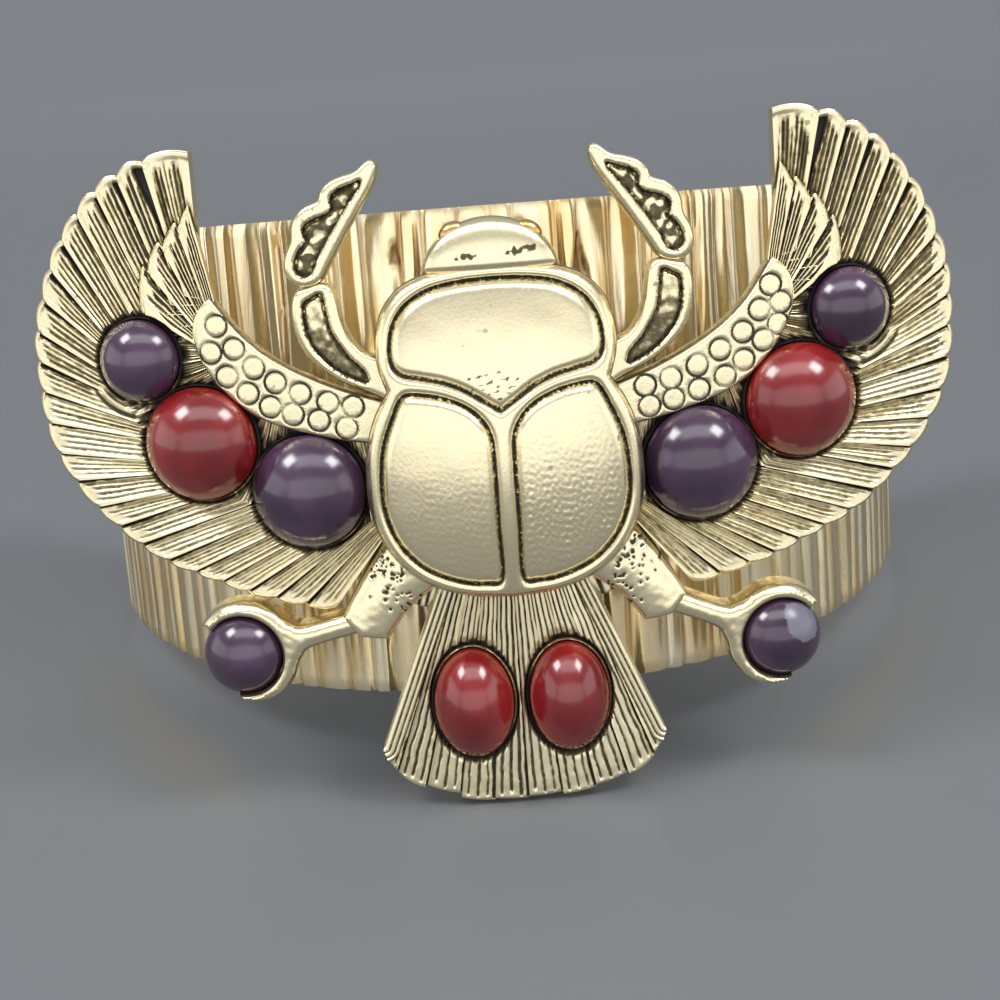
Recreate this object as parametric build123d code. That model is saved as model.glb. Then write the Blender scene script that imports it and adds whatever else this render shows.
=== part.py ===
"""Scarab bracelet: an open ribbed cuff with a cast winged scarab standing off its front.

Sizes are in millimetres. The pieces are drawn upright first: X to the viewer's right, Y from the front
to the back with 0 at the band's front, Z up from the band's lower rim. The bracelet then leans back
until it stands on the tip of the tail and on the band's two free ends.
"""
from build123d import *

import os
from math import asin, atan2, cos, degrees, radians, sin

# Band: its plan is three arcs on each side of the front's middle
BAND_HEIGHT = 30.9
BAND_THICKNESS = 1.3
FRONT_RADIUS = 27.6
FRONT_SWEEP = 49.4
SIDE_RADIUS = 58.5
SIDE_SWEEP = 22.3
END_RADIUS = 17.3
END_SWEEP = 51.6
RIB_COUNT = 62
RIB_DEPTH = 0.4
RIB_GROOVE_SHARE = 0.3
RIB_UNEVENNESS = 0.35
RIB_WAVE_STEP = 2.4

# Plaque: the casting in front of the band, bent gently about an upright axis
WING_SPAN = 57.7
PLAQUE_HEIGHT = 42.1
TAIL_DROP = 6.55
PLAQUE_RADIUS = 113.0
PLATE_THICKNESS = 1.4
PLAQUE_STANDOFF = 1.2
FEATHER_COUNT = 23
FEATHER_BULGE = 0.3
TAIL_FEATHER_COUNT = 14
TAIL_ROOT_SHARE = 0.4
GROOVE_WIDTH = 0.26
GROOVE_DEPTH = 0.4

# Relief heights above the plate's face
ARM_HEIGHT = 0.6
COVERT_HEIGHT = 0.3
CLAW_HEIGHT = 0.35
CLAW_RIM = 0.5
CLAW_RECESS = 0.45
THIGH_HEIGHT = 0.9
SHIN_HEIGHT = 0.4
SHIN_WIDTH = 1.5
CUP_WALL = 1.0
CUP_OFFSET = 0.33
CUP_OPENING_DIRECTION = -25.0
BODY_HEIGHT = 3.3
BODY_EDGE_HEIGHT = 1.0
PANEL_GROOVE_WIDTH = 0.35
PANEL_GROOVE_DEPTH = 0.45
HEAD_WIDTH = 7.8
HEAD_HEIGHT = 1.4
HORN_RADIUS = 0.55
RING_RADIUS = 0.6
RING_LINE = 0.18
RING_DEPTH = 0.2

# Stones and their seats
LARGE_STONE = 7.0
SMALL_STONE = 5.0
OVAL_WIDTH = 5.0
OVAL_HEIGHT = 7.0
GIRDLE = 0.9
DOME_SHARE = 0.32
STONE_BEVEL = 0.15
STONE_GAP = 0.3
OVAL_GAP = 1.0
STONE_CLEARANCE = 0.05
SEAT_WALL = 0.35
SEAT_RIM = 0.45
SEAT_DEPTH = 0.5
SEAT_ROOT = 1.25
RED_STONE_DIRECTION = 27.0
UPPER_STONE_DIRECTION = 58.0

# Solder pads between the plaque's back and the band
PAD_RADIUS = 4.0
PAD_CLEARANCE = 0.05
PAD_LEVELS = {"upper": 0.66, "lower": 0.44}

HALF_SPAN = WING_SPAN / 2
BAND_ARCS = ((FRONT_RADIUS, FRONT_SWEEP), (SIDE_RADIUS, SIDE_SWEEP), (END_RADIUS, END_SWEEP))
BAND_HALF_LENGTH = sum(radius * radians(sweep) for radius, sweep in BAND_ARCS)
PLATE_FACE_Y = -PLAQUE_STANDOFF - PLATE_THICKNESS
RELIEF_TOP = 1.3 * BODY_HEIGHT
MIRROR = Plane.YZ

# Outlines of the right half. The columns are shares: across, of half the wing span,
# and up from the tail's tip, of the plaque's height.
WING_EDGE = [(0.679, 0.999), (0.804, 0.954), (0.922, 0.868), (0.991, 0.757), (0.991, 0.621),
             (0.908, 0.488), (0.745, 0.395), (0.572, 0.343), (0.388, 0.319)]
WING_TIP = [(0.607, 0.994)]
WING_INNER = [(0.610, 0.916), (0.593, 0.792)]
WING_ROOTS = [(0.600, 0.825), (0.666, 0.740), (0.659, 0.635), (0.506, 0.526), (0.298, 0.450)]
WING_CORE = [(0.120, 0.640), (0.120, 0.440)]
ARM_UPPER = [(0.593, 0.792), (0.534, 0.730), (0.437, 0.678), (0.347, 0.650), (0.130, 0.630)]
ARM_LOWER = [(0.130, 0.560), (0.360, 0.586), (0.516, 0.621), (0.624, 0.688), (0.638, 0.740)]
RINGS = [(0.588, 0.746), (0.556, 0.711), (0.520, 0.681), (0.471, 0.659), (0.421, 0.639),
         (0.364, 0.625), (0.308, 0.616), (0.607, 0.716), (0.589, 0.681), (0.546, 0.653),
         (0.506, 0.633), (0.459, 0.615), (0.406, 0.601), (0.347, 0.588)]
COVERT_TIPS = [(0.709, 0.842), (0.655, 0.887), (0.610, 0.913)]
COVERT_ROOT = [(0.598, 0.745), (0.655, 0.700)]
THORAX = [(0.000, 0.809), (0.139, 0.802), (0.229, 0.759), (0.251, 0.700), (0.232, 0.638)]
ELYTRA = [(0.232, 0.638), (0.281, 0.564), (0.293, 0.488), (0.250, 0.398), (0.146, 0.343), (0.000, 0.329)]
PRONOTUM = [(0.000, 0.787), (0.125, 0.780), (0.198, 0.745), (0.215, 0.700), (0.208, 0.664),
            (0.118, 0.650), (0.000, 0.616)]
ELYTRON = [(0.023, 0.354), (0.023, 0.581), (0.118, 0.616), (0.208, 0.631), (0.246, 0.564),
           (0.256, 0.488), (0.215, 0.412), (0.128, 0.367)]
CLAW = [(0.220, 0.961), (0.312, 0.939), (0.343, 0.918), (0.392, 0.892), (0.402, 0.868), (0.426, 0.837),
        (0.423, 0.809), (0.385, 0.788), (0.354, 0.803), (0.295, 0.861), (0.236, 0.930)]
FORELEG = [(0.130, 0.630), (0.305, 0.643), (0.381, 0.676), (0.416, 0.723), (0.419, 0.759), (0.395, 0.798),
           (0.350, 0.798), (0.326, 0.773), (0.315, 0.735), (0.284, 0.702), (0.130, 0.680)]
THIGH = [(0.263, 0.422), (0.371, 0.310), (0.333, 0.277), (0.277, 0.274), (0.130, 0.369)]
TAIL_SIDE = [(0.110, 0.430), (0.310, 0.099)]
TAIL_EDGE = [(0.310, 0.099), (0.260, 0.046), (0.140, 0.015), (0.000, 0.007)]
TAIL_APEX = (0.000, 0.560)
HEAD_CENTRE = (0.000, 0.786)
HORN_CENTRE = (0.076, 0.864)
BODY_CENTRE = (0.000, 0.569)
KNEE = (0.345, 0.294)
LARGE_STONE_LEVEL = 0.498
TAIL_STONE_LEVEL = 0.162
LEG_STONES = {"right": (0.579, 0.222), "left": (0.600, 0.255)}


def spot(share):
    """Turn a share of the plaque's size into upright X and Z."""
    across, up = share
    return (across * HALF_SPAN, up * PLAQUE_HEIGHT - TAIL_DROP)


def spots(shares):
    """Turn a table of shares into upright points."""
    return [spot(share) for share in shares]


def face_through(*edges):
    """Close edges drawn in X and Z into a face that looks at the viewer."""
    return Plane.XZ * make_face(Curve() + list(edges))


def polygon(points):
    """Face with straight sides."""
    return face_through(Polyline(*points, close=True))


def relief(face, low, high):
    """Raise a face drawn in X and Z between two heights above the plate's curved face."""
    reach = RELIEF_TOP + PLATE_THICKNESS + HALF_SPAN ** 2 / PLAQUE_RADIUS
    block = Pos(0, PLATE_FACE_Y, 0) * extrude(face, reach, both=True)
    axis = Pos(0, PLATE_FACE_Y + PLAQUE_RADIUS, PLAQUE_HEIGHT / 2 - TAIL_DROP)
    tall = 2 * PLAQUE_HEIGHT
    return (block & axis * Cylinder(PLAQUE_RADIUS + high, tall)) - axis * Cylinder(PLAQUE_RADIUS + low, tall)


def seat_plane(x, z):
    """Plane that touches the plate's face at X and Z and looks straight out of it."""
    turn = asin(x / PLAQUE_RADIUS)
    face_y = PLATE_FACE_Y + PLAQUE_RADIUS * (1 - cos(turn))
    return Plane(origin=(x, face_y, z), x_dir=(cos(turn), sin(turn), 0), z_dir=(sin(turn), -cos(turn), 0))


def band_point(travel, inset):
    """Plan point at a distance along the band's outer line from its front middle, and inset from it."""
    x = y = heading = 0.0
    left = abs(travel)
    for radius, sweep in BAND_ARCS:
        turn = min(left / radius, radians(sweep))
        x += radius * (sin(heading + turn) - sin(heading))
        y += radius * (cos(heading) - cos(heading + turn))
        heading += turn
        left -= radius * turn
    side = 1 if travel >= 0 else -1
    return (side * (x - inset * sin(heading)), y + inset * cos(heading))


def rib_edges():
    """Distances along the band at which one rib ends and the next one starts."""
    widths = [1 + RIB_UNEVENNESS * sin(RIB_WAVE_STEP * rib) for rib in range(RIB_COUNT)]
    scale = 2 * BAND_HALF_LENGTH / sum(widths)
    edges = [-BAND_HALF_LENGTH]
    for width in widths:
        edges.append(edges[-1] + width * scale)
    return edges


def ribbed_line():
    """Plan points of the band's outer face, from its left end to its right end."""
    edges = rib_edges()
    points = []
    for start, end in zip(edges, edges[1:]):
        slope = (end - start) * RIB_GROOVE_SHARE / 2
        crest_start = start + slope
        crest_end = end - slope
        points += [band_point(start, RIB_DEPTH), band_point(crest_start, 0), band_point(crest_end, 0)]
    return points + [band_point(BAND_HALF_LENGTH, RIB_DEPTH)]


def inner_line():
    """Arcs of the band's smooth inner face, from its right end to its left end."""
    front = FRONT_RADIUS * radians(FRONT_SWEEP)
    side = front + SIDE_RADIUS * radians(SIDE_SWEEP)
    stops = [BAND_HALF_LENGTH, side, front, -front, -side, -BAND_HALF_LENGTH]
    arcs = []
    for start, end in zip(stops, stops[1:]):
        places = (start, (start + end) / 2, end)
        arcs.append(ThreePointArc(*[band_point(place, BAND_THICKNESS) for place in places]))
    return arcs


def cuff_band():
    """Open band with upright ribs."""
    outer = ribbed_line()
    inner = inner_line()
    first = Line(outer[-1], band_point(BAND_HALF_LENGTH, BAND_THICKNESS))
    last = Line(band_point(-BAND_HALF_LENGTH, BAND_THICKNESS), outer[0])
    plan = make_face(Curve() + [Polyline(*outer), first, *inner, last])
    return extrude(plan, BAND_HEIGHT)


def groove(start, end):
    """Narrow wedge along a line, wide at its start, as a face."""
    dx = end[0] - start[0]
    dz = end[1] - start[1]
    length = (dx ** 2 + dz ** 2) ** 0.5
    side = (-dz / length * GROOVE_WIDTH / 2, dx / length * GROOVE_WIDTH / 2)
    outside = (start[0] - dx / length, start[1] - dz / length)
    corners = [(outside[0] + side[0], outside[1] + side[1]), (outside[0] - side[0], outside[1] - side[1]), end]
    return polygon(corners)


def scalloped(points):
    """Arcs between neighbouring points, each bulging outwards like a feather's rounded tip."""
    arcs = []
    for start, end in zip(points, points[1:]):
        dx = end[0] - start[0]
        dz = end[1] - start[1]
        bulge = FEATHER_BULGE / (dx ** 2 + dz ** 2) ** 0.5
        middle = ((start[0] + end[0]) / 2 - dz * bulge, (start[1] + end[1]) / 2 + dx * bulge)
        arcs.append(ThreePointArc(start, middle, end))
    return arcs


def along(curve, count):
    """Evenly spaced points of a curve as plain pairs."""
    return [((curve @ (step / count)).X, (curve @ (step / count)).Y) for step in range(count + 1)]


def wing():
    """Right wing: a plate with a scalloped edge and a groove between each two feathers."""
    tips = along(Spline(*spots(WING_EDGE)), FEATHER_COUNT)
    roots = along(Spline(*spots(WING_ROOTS)), FEATHER_COUNT)
    inner = spots(WING_CORE) + [tips[-1]]
    upper = [tips[0]] + spots(WING_TIP + WING_INNER + ARM_UPPER[1:]) + spots(WING_CORE[:1])
    outline = face_through(*scalloped(tips), Polyline(*upper), Polyline(*inner))
    plate = relief(outline, -PLATE_THICKNESS, 0)
    for tip, root in zip(tips[1:-1], roots[1:-1]):
        plate -= relief(groove(tip, root), -GROOVE_DEPTH, RELIEF_TOP)
    return plate


def coverts():
    """Three short feathers that overlap at the arm's outer end, each higher than the last."""
    root_start, root_end = spots(COVERT_ROOT)
    half_width = (root_end[0] - root_start[0]) / 2
    leaves = []
    for number, tip in enumerate(spots(COVERT_TIPS), start=1):
        widest = (tip[1] + (root_start[1] + root_end[1]) / 2) / 2
        left = (tip[0] - half_width, widest)
        right = (tip[0] + half_width / 2, widest)
        leaf = polygon([root_start, left, tip, right, root_end])
        leaves.append(relief(leaf, -PLATE_THICKNESS / 2, COVERT_HEIGHT * number / len(COVERT_TIPS)))
    return Part() + leaves


def arm():
    """Right arm of the wing: a smooth raised crescent with two rows of incised rings."""
    upper = Spline(*spots(ARM_UPPER))
    lower = Spline(*spots(ARM_LOWER))
    inner_end = Line(upper @ 1, lower @ 0)
    outer_end = Line(lower @ 1, upper @ 0)
    crescent = relief(face_through(upper, inner_end, lower, outer_end), -PLATE_THICKNESS, ARM_HEIGHT)
    line = Circle(RING_RADIUS) - Circle(RING_RADIUS - RING_LINE)
    for x, z in spots(RINGS):
        seat = seat_plane(x, z)
        crescent -= extrude(seat.offset(ARM_HEIGHT - RING_DEPTH) * line, RELIEF_TOP)
    return crescent


def claw():
    """Right claw: a plate with a lobed outer side and a sunk middle."""
    outline = polygon(spots(CLAW))
    middle = offset(make_face(Polyline(*spots(CLAW), close=True)), -CLAW_RIM)
    return relief(outline, -PLATE_THICKNESS, CLAW_HEIGHT) - relief(
        Plane.XZ * middle, CLAW_HEIGHT - CLAW_RECESS, RELIEF_TOP)


def foreleg():
    """Right foreleg between the thorax and the claw, with a sunk line inside its rim."""
    drawn = make_face(Polyline(*spots(FORELEG), close=True))
    rim = offset(drawn, -CLAW_RIM)
    panel = offset(drawn, -CLAW_RIM - PANEL_GROOVE_WIDTH)
    leg = relief(Plane.XZ * drawn, -PLATE_THICKNESS, CLAW_HEIGHT)
    return leg - relief(Plane.XZ * (rim - panel), CLAW_HEIGHT - CLAW_RECESS, RELIEF_TOP)


def hind_leg(side):
    """Hind leg drawn on the right: thigh, shin and an open cup round the stone's seat."""
    stone_x, stone_z = spot(LEG_STONES[side])
    knee_x, knee_z = spot(KNEE)
    angle = degrees(atan2(stone_z - knee_z, stone_x - knee_x))
    length = ((stone_x - knee_x) ** 2 + (stone_z - knee_z) ** 2) ** 0.5
    shin = Pos(knee_x, knee_z) * Rot(Z=angle) * Pos(length / 2, 0) * Rectangle(length, SHIN_WIDTH)
    inner = SMALL_STONE / 2 + STONE_CLEARANCE
    cup = Pos(stone_x - CUP_OFFSET, stone_z) * Circle(inner + CUP_WALL)
    gap = Pos(2 * inner, 0) * Rectangle(4 * inner, 2 * inner)
    opening = Pos(stone_x, stone_z) * Rot(Z=CUP_OPENING_DIRECTION) * gap
    disc = Pos(stone_x, stone_z) * Circle(inner + SEAT_WALL)
    leg = relief(polygon(spots(THIGH)), -PLATE_THICKNESS, THIGH_HEIGHT)
    leg += relief(Plane.XZ * shin, -PLATE_THICKNESS, SHIN_HEIGHT)
    leg += relief(Plane.XZ * disc, -PLATE_THICKNESS, -SEAT_DEPTH / 2)
    return leg + relief(Plane.XZ * (cup - opening), -PLATE_THICKNESS, SEAT_RIM)


def tail():
    """Tail fan: a plate with a scalloped lower edge and a groove between each two feathers."""
    half = Spline(*spots(TAIL_EDGE))
    right = along(half, TAIL_FEATHER_COUNT // 2)
    left = [(-x, z) for x, z in reversed(right[:-1])]
    tips = right + left
    top, corner = spots(TAIL_SIDE)
    sides = Polyline(tips[-1], (-top[0], top[1]), top, corner)
    fan = relief(face_through(*scalloped(tips), sides), -PLATE_THICKNESS, 0)
    apex_x, apex_z = spot(TAIL_APEX)
    for tip in tips[1:-1]:
        root = (apex_x + (tip[0] - apex_x) * TAIL_ROOT_SHARE, apex_z + (tip[1] - apex_z) * TAIL_ROOT_SHARE)
        fan -= relief(groove(tip, root), -GROOVE_DEPTH, RELIEF_TOP)
    return fan


def behind_face(depth):
    """Block of space that starts at a depth behind the plate's face."""
    thick = HALF_SPAN
    return Pos(0, PLATE_FACE_Y + depth + thick / 2, 0) * Box(2 * WING_SPAN, thick, 4 * PLAQUE_HEIGHT)


def dome(height):
    """Ball whose front stands at a height above the plate's face over the body's middle."""
    x, z = spot(BODY_CENTRE)
    rise = BODY_HEIGHT - BODY_EDGE_HEIGHT
    half_length = (THORAX[0][1] - ELYTRA[-1][1]) * PLAQUE_HEIGHT / 2
    radius = (half_length ** 2 + rise ** 2) / (2 * rise)
    return Pos(x, PLATE_FACE_Y - BODY_HEIGHT + radius, z) * Sphere(radius - (BODY_HEIGHT - height))


def mirrored(points):
    """Closed row of points from those of the right half and their mirror images."""
    return points + [(-x, z) for x, z in reversed(points) if x > 0]


def body():
    """Scarab's body: a domed back with a raised rim and three panels, each inside a groove."""
    right = [Spline(*spots(THORAX)), Spline(*spots(ELYTRA))]
    outline = make_face(Curve() + right + [mirror(edge, about=MIRROR) for edge in right])
    front = extrude(Plane.XZ * outline, RELIEF_TOP + PLATE_THICKNESS, dir=(0, -1, 0))
    front = Pos(0, PLATE_FACE_Y + PLATE_THICKNESS / 2, 0) * front
    back = relief(Plane.XZ * outline, -PLATE_THICKNESS, 0) + (front & dome(BODY_HEIGHT))
    elytron = spots(ELYTRON)
    for corners in (mirrored(spots(PRONOTUM)), elytron, [(-x, z) for x, z in elytron]):
        panel = make_face(Polyline(*corners, close=True))
        line = offset(panel, PANEL_GROOVE_WIDTH) - panel
        back -= relief(Plane.XZ * line, 0, RELIEF_TOP) - dome(BODY_HEIGHT - PANEL_GROOVE_DEPTH)
    return back


def head():
    """Round head in front of the thorax, with two small horns behind it."""
    x, z = spot(HEAD_CENTRE)
    radius = (HEAD_HEIGHT ** 2 + (HEAD_WIDTH / 2) ** 2) / (2 * HEAD_HEIGHT)
    ball = Pos(x, PLATE_FACE_Y - HEAD_HEIGHT + radius, z) * Sphere(radius)
    base = relief(Plane.XZ * (Pos(x, z) * Circle(HEAD_WIDTH / 2)), -PLATE_THICKNESS, 0)
    skull = base + (ball - behind_face(PLATE_THICKNESS / 2))
    for share in (HORN_CENTRE, (-HORN_CENTRE[0], HORN_CENTRE[1])):
        horn_x, horn_z = spot(share)
        skull += Pos(horn_x, PLATE_FACE_Y, horn_z) * Sphere(HORN_RADIUS)
    return skull


def cabochon(width, height):
    """Smooth stone with a flat base, an upright girdle and a domed top, standing on its base."""
    radius = height / 2
    rise = height * DOME_SHARE
    ball_radius = (radius ** 2 + rise ** 2) / (2 * rise)
    body_height = GIRDLE + rise
    base = Pos(0, 0, body_height / 2) * Cylinder(radius, body_height)
    base = chamfer(base.edges().group_by(Axis.Z)[0], STONE_BEVEL)
    stone = base & Pos(0, 0, body_height - ball_radius) * Sphere(ball_radius)
    return stone if width == height else scale(stone, by=(width / height, 1, 1))


def stone_places():
    """Name of each stone with its X, Z, width and height."""
    large = LARGE_STONE / 2
    small = SMALL_STONE / 2
    body_edge = max(across for across, up in ELYTRA) * HALF_SPAN
    large_x = body_edge + 2 * STONE_CLEARANCE + large
    large_z = spot((0, LARGE_STONE_LEVEL))[1]
    step = 2 * large + STONE_GAP
    middle_x = large_x + step * cos(radians(RED_STONE_DIRECTION))
    middle_z = large_z + step * sin(radians(RED_STONE_DIRECTION))
    step = large + small + STONE_GAP
    small_x = middle_x + step * cos(radians(UPPER_STONE_DIRECTION))
    small_z = middle_z + step * sin(radians(UPPER_STONE_DIRECTION))
    tail_z = spot((0, TAIL_STONE_LEVEL))[1]
    places = {}
    for side, sign in (("right", 1), ("left", -1)):
        leg_x, leg_z = spot(LEG_STONES[side])
        places[f"wing_stone_large_{side}"] = (sign * large_x, large_z, LARGE_STONE, LARGE_STONE)
        places[f"wing_stone_middle_{side}"] = (sign * middle_x, middle_z, LARGE_STONE, LARGE_STONE)
        places[f"wing_stone_small_{side}"] = (sign * small_x, small_z, SMALL_STONE, SMALL_STONE)
        places[f"leg_stone_{side}"] = (sign * leg_x, leg_z, SMALL_STONE, SMALL_STONE)
        tail_x = (OVAL_WIDTH + OVAL_GAP) / 2
        places[f"tail_stone_{side}"] = (sign * tail_x, tail_z, OVAL_WIDTH, OVAL_HEIGHT)
    return places


def seat_disc(x, z, width, height, wall, low, high):
    """Oval or round plate along the seat's own axis, with a wall round the stone's size."""
    disc = Ellipse(width / 2 + wall, height / 2 + wall) if width != height else Circle(width / 2 + wall)
    return extrude(seat_plane(x, z).offset(low) * disc, high - low)


def scarab_plaque():
    """The whole casting in one solid."""
    half = [wing(), coverts(), arm(), claw(), foreleg()]
    members = half + [mirror(member, about=MIRROR) for member in half]
    members += [tail(), body(), head(), hind_leg("right"), mirror(hind_leg("left"), about=MIRROR)]
    places = stone_places()
    for name, place in places.items():
        if not name.startswith("leg"):
            members.append(seat_disc(*place, SEAT_WALL, -SEAT_ROOT, SEAT_RIM))
    pockets = [seat_disc(*place, STONE_CLEARANCE, -SEAT_DEPTH, RELIEF_TOP) for place in places.values()]
    return Part() + members - pockets


def stones():
    """Each stone on the floor of its seat."""
    pieces = {}
    for name, (x, z, width, height) in stone_places().items():
        floor = seat_plane(x, z).offset(STONE_CLEARANCE - SEAT_DEPTH)
        pieces[name] = floor * cabochon(width, height)
    return pieces


def solder_pads():
    """Plain pads between the band's front and the plaque's back, hidden behind the body."""
    back_axis = Pos(0, PLATE_FACE_Y + PLAQUE_RADIUS, 0)
    back = back_axis * Cylinder(PLAQUE_RADIUS - PLATE_THICKNESS - PAD_CLEARANCE, 4 * PLAQUE_HEIGHT)
    band_face = Pos(0, FRONT_RADIUS, 0) * Cylinder(FRONT_RADIUS + PAD_CLEARANCE, 4 * PLAQUE_HEIGHT)
    pieces = {}
    for level, share in PAD_LEVELS.items():
        x, z = spot((0, share))
        disc = Plane.XZ * (Pos(x, z) * Circle(PAD_RADIUS))
        pieces[f"solder_pad_{level}"] = (extrude(disc, 2 * PAD_RADIUS, both=True) & back) - band_face
    return pieces


def lean_angle(plaque):
    """Angle at which the tail's tip and the band's free ends stand on one level."""
    end_y = max(y for x, y in ribbed_line())
    tip_y = PLATE_FACE_Y + PLATE_THICKNESS
    return degrees(atan2(-plaque.bounding_box().min.Z, end_y - tip_y))


def bracelet():
    """All pieces in their places, standing on Z = 0 with the origin under the middle."""
    pieces = {"cuff_band": cuff_band(), "scarab_plaque": scarab_plaque()}
    pieces.update(solder_pads())
    pieces.update(stones())
    lean = Rot(X=-lean_angle(pieces["scarab_plaque"]))
    leaned = {name: lean * piece for name, piece in pieces.items()}
    boxes = [piece.bounding_box() for piece in leaned.values()]
    middle_x = (min(box.min.X for box in boxes) + max(box.max.X for box in boxes)) / 2
    middle_y = (min(box.min.Y for box in boxes) + max(box.max.Y for box in boxes)) / 2
    shift = Pos(-middle_x, -middle_y, -min(box.min.Z for box in boxes))
    return {name: shift * piece for name, piece in leaned.items()}


os.makedirs("parts", exist_ok=True)
for node, solid in bracelet().items():
    export_step(solid, f"parts/{node}.step")
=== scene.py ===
"""Scarab bracelet: an open ribbed cuff with a cast winged scarab and ten cabochon stones.

The pieces are drawn upright in millimetres, X to the viewer's right, Y from front to back with 0 at the
band's front, Z up from the band's lower rim. Parts of the casting are drawn flat first, as X, height and
Z, and then bent about the plaque's upright axis. Stance leans each piece back as the CAD stands.
"""

import logging
import math
from dataclasses import dataclass, replace
from enum import Enum
from typing import Callable, Optional, Sequence

import bmesh
import bpy
import numpy as np
from mathutils import Matrix, Vector
from mathutils.geometry import delaunay_2d_cdt


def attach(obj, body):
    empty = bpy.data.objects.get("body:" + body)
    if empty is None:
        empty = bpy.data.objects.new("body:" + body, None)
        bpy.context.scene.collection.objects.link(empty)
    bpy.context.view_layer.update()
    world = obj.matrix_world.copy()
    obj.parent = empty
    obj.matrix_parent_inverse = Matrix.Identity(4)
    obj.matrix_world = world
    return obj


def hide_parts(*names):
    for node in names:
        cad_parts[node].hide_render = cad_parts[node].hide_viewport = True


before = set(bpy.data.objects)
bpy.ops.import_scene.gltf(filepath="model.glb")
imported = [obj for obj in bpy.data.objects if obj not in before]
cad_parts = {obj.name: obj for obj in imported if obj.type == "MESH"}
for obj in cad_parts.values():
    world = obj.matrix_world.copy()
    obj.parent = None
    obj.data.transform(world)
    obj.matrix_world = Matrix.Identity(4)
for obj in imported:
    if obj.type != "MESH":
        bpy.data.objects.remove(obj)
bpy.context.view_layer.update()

logging.basicConfig(level=logging.INFO, format="%(message)s")
LOG = logging.getLogger("scarab")

MM = 0.001
# Name of the attribute that holds dark patina and painted shade
PATINA_AND_SHADE = "patina"
TINY = 1e-6
PLACES_AT_ONCE = 2000
FLIP = np.array([-1, 1])
Point = tuple[float, float]
Place = tuple[float, float, float]
Colour = tuple[float, float, float, float]
Outline = Sequence[Point]
Pair = tuple[np.ndarray, np.ndarray]
Shape = Callable[[np.ndarray], Pair]
Material = bpy.types.Material


class Side(Enum):
    """The viewer's right or left half, with the sign of its X."""

    RIGHT = 1
    LEFT = -1

    @property
    def word(self) -> str:
        """The side's name as it stands in a piece's name."""
        return self.name.lower()


class Slot(Enum):
    """The record's material slots; a stone's slot picks its finish."""

    CAST = "cast_gold"
    BAND = "band_gold"
    PURPLE = "purple_stone"
    RED = "red_stone"


# Node graphs


class Graph:
    """A node tree with one way to add nodes."""

    def __init__(self, tree: bpy.types.NodeTree) -> None:
        """Keep the tree."""
        self.tree = tree

    def feed(self, socket: bpy.types.NodeSocket, value: object) -> None:
        """Link a socket to a field or another socket, or set its value.

        Args:
            socket: The input to fill.
            value: A Field, an output socket or a plain value.
        """
        if isinstance(value, Field):
            self.tree.links.new(value.socket, socket)
        elif isinstance(value, bpy.types.NodeSocket):
            self.tree.links.new(value, socket)
        else:
            socket.default_value = value

    def node(self, kind: str, inputs: Optional[dict] = None, **settings: object) -> bpy.types.Node:
        """Add a node.

        Args:
            kind: The node's type.
            inputs: Values or links of its sockets, by name or number.
            settings: Its properties, set first.

        Returns:
            The new node.
        """
        made = self.tree.nodes.new(kind)
        for name, value in settings.items():
            setattr(made, name, value)
        for key, value in (inputs or {}).items():
            self.feed(made.inputs[key], value)
        return made

    def field(self, kind: str, inputs: Optional[dict] = None, output: object = 0,
              **settings: object) -> "Field":
        """Add a node and return one of its outputs as a field."""
        return Field(self, self.node(kind, inputs, **settings).outputs[output])

    def vector(self, operation: str, *values: object, output: object = 0) -> "Field":
        """Add one Vector Math node on the given values."""
        return self.field("ShaderNodeVectorMath", dict(enumerate(values)), output, operation=operation)

    def scaled(self, vector: "Field", factor: "Field") -> "Field":
        """A vector times a number."""
        return self.field("ShaderNodeVectorMath", {0: vector, "Scale": factor}, operation="SCALE")

    def joined(self, **parts: object) -> "Field":
        """A vector from its parts X, Y and Z."""
        return self.field("ShaderNodeCombineXYZ", parts)

    def apart(self, vector: object) -> list["Field"]:
        """A vector's X, Y and Z."""
        return [Field(self, part) for part in self.node("ShaderNodeSeparateXYZ", {"Vector": vector}).outputs]

    def mix(self, factor: object, first: object, second: object) -> "Field":
        """Blend two colours by a factor."""
        return self.field("ShaderNodeMix", {0: factor, 6: first, 7: second}, 2, data_type="RGBA")

    def noise(self, place: object, scale: float, detail: float = 2.0, rough: float = 0.5) -> "Field":
        """Smooth noise from 0 to 1 at a place."""
        inputs = {"Vector": place, "Scale": scale, "Detail": detail, "Roughness": rough}
        return self.field("ShaderNodeTexNoise", inputs, "Fac")

    def chance(self, number: "Field") -> "Field":
        """A value from 0 to 1 that is random for each whole number and the same at every run."""
        return self.field("ShaderNodeTexWhiteNoise", {"W": number}, "Value", noise_dimensions="1D")


def arithmetic(operation: str, swapped: bool = False) -> Callable:
    """A method that adds one Math node on a field and what it is given.

    Args:
        operation: The node's operation.
        swapped: Whether the field comes last.

    Returns:
        The method.
    """
    def method(self: "Field", *others: object) -> "Field":
        """Add the node."""
        values = (*others, self) if swapped else (self, *others)
        return self.graph.field("ShaderNodeMath", dict(enumerate(values)), operation=operation)

    return method


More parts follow.
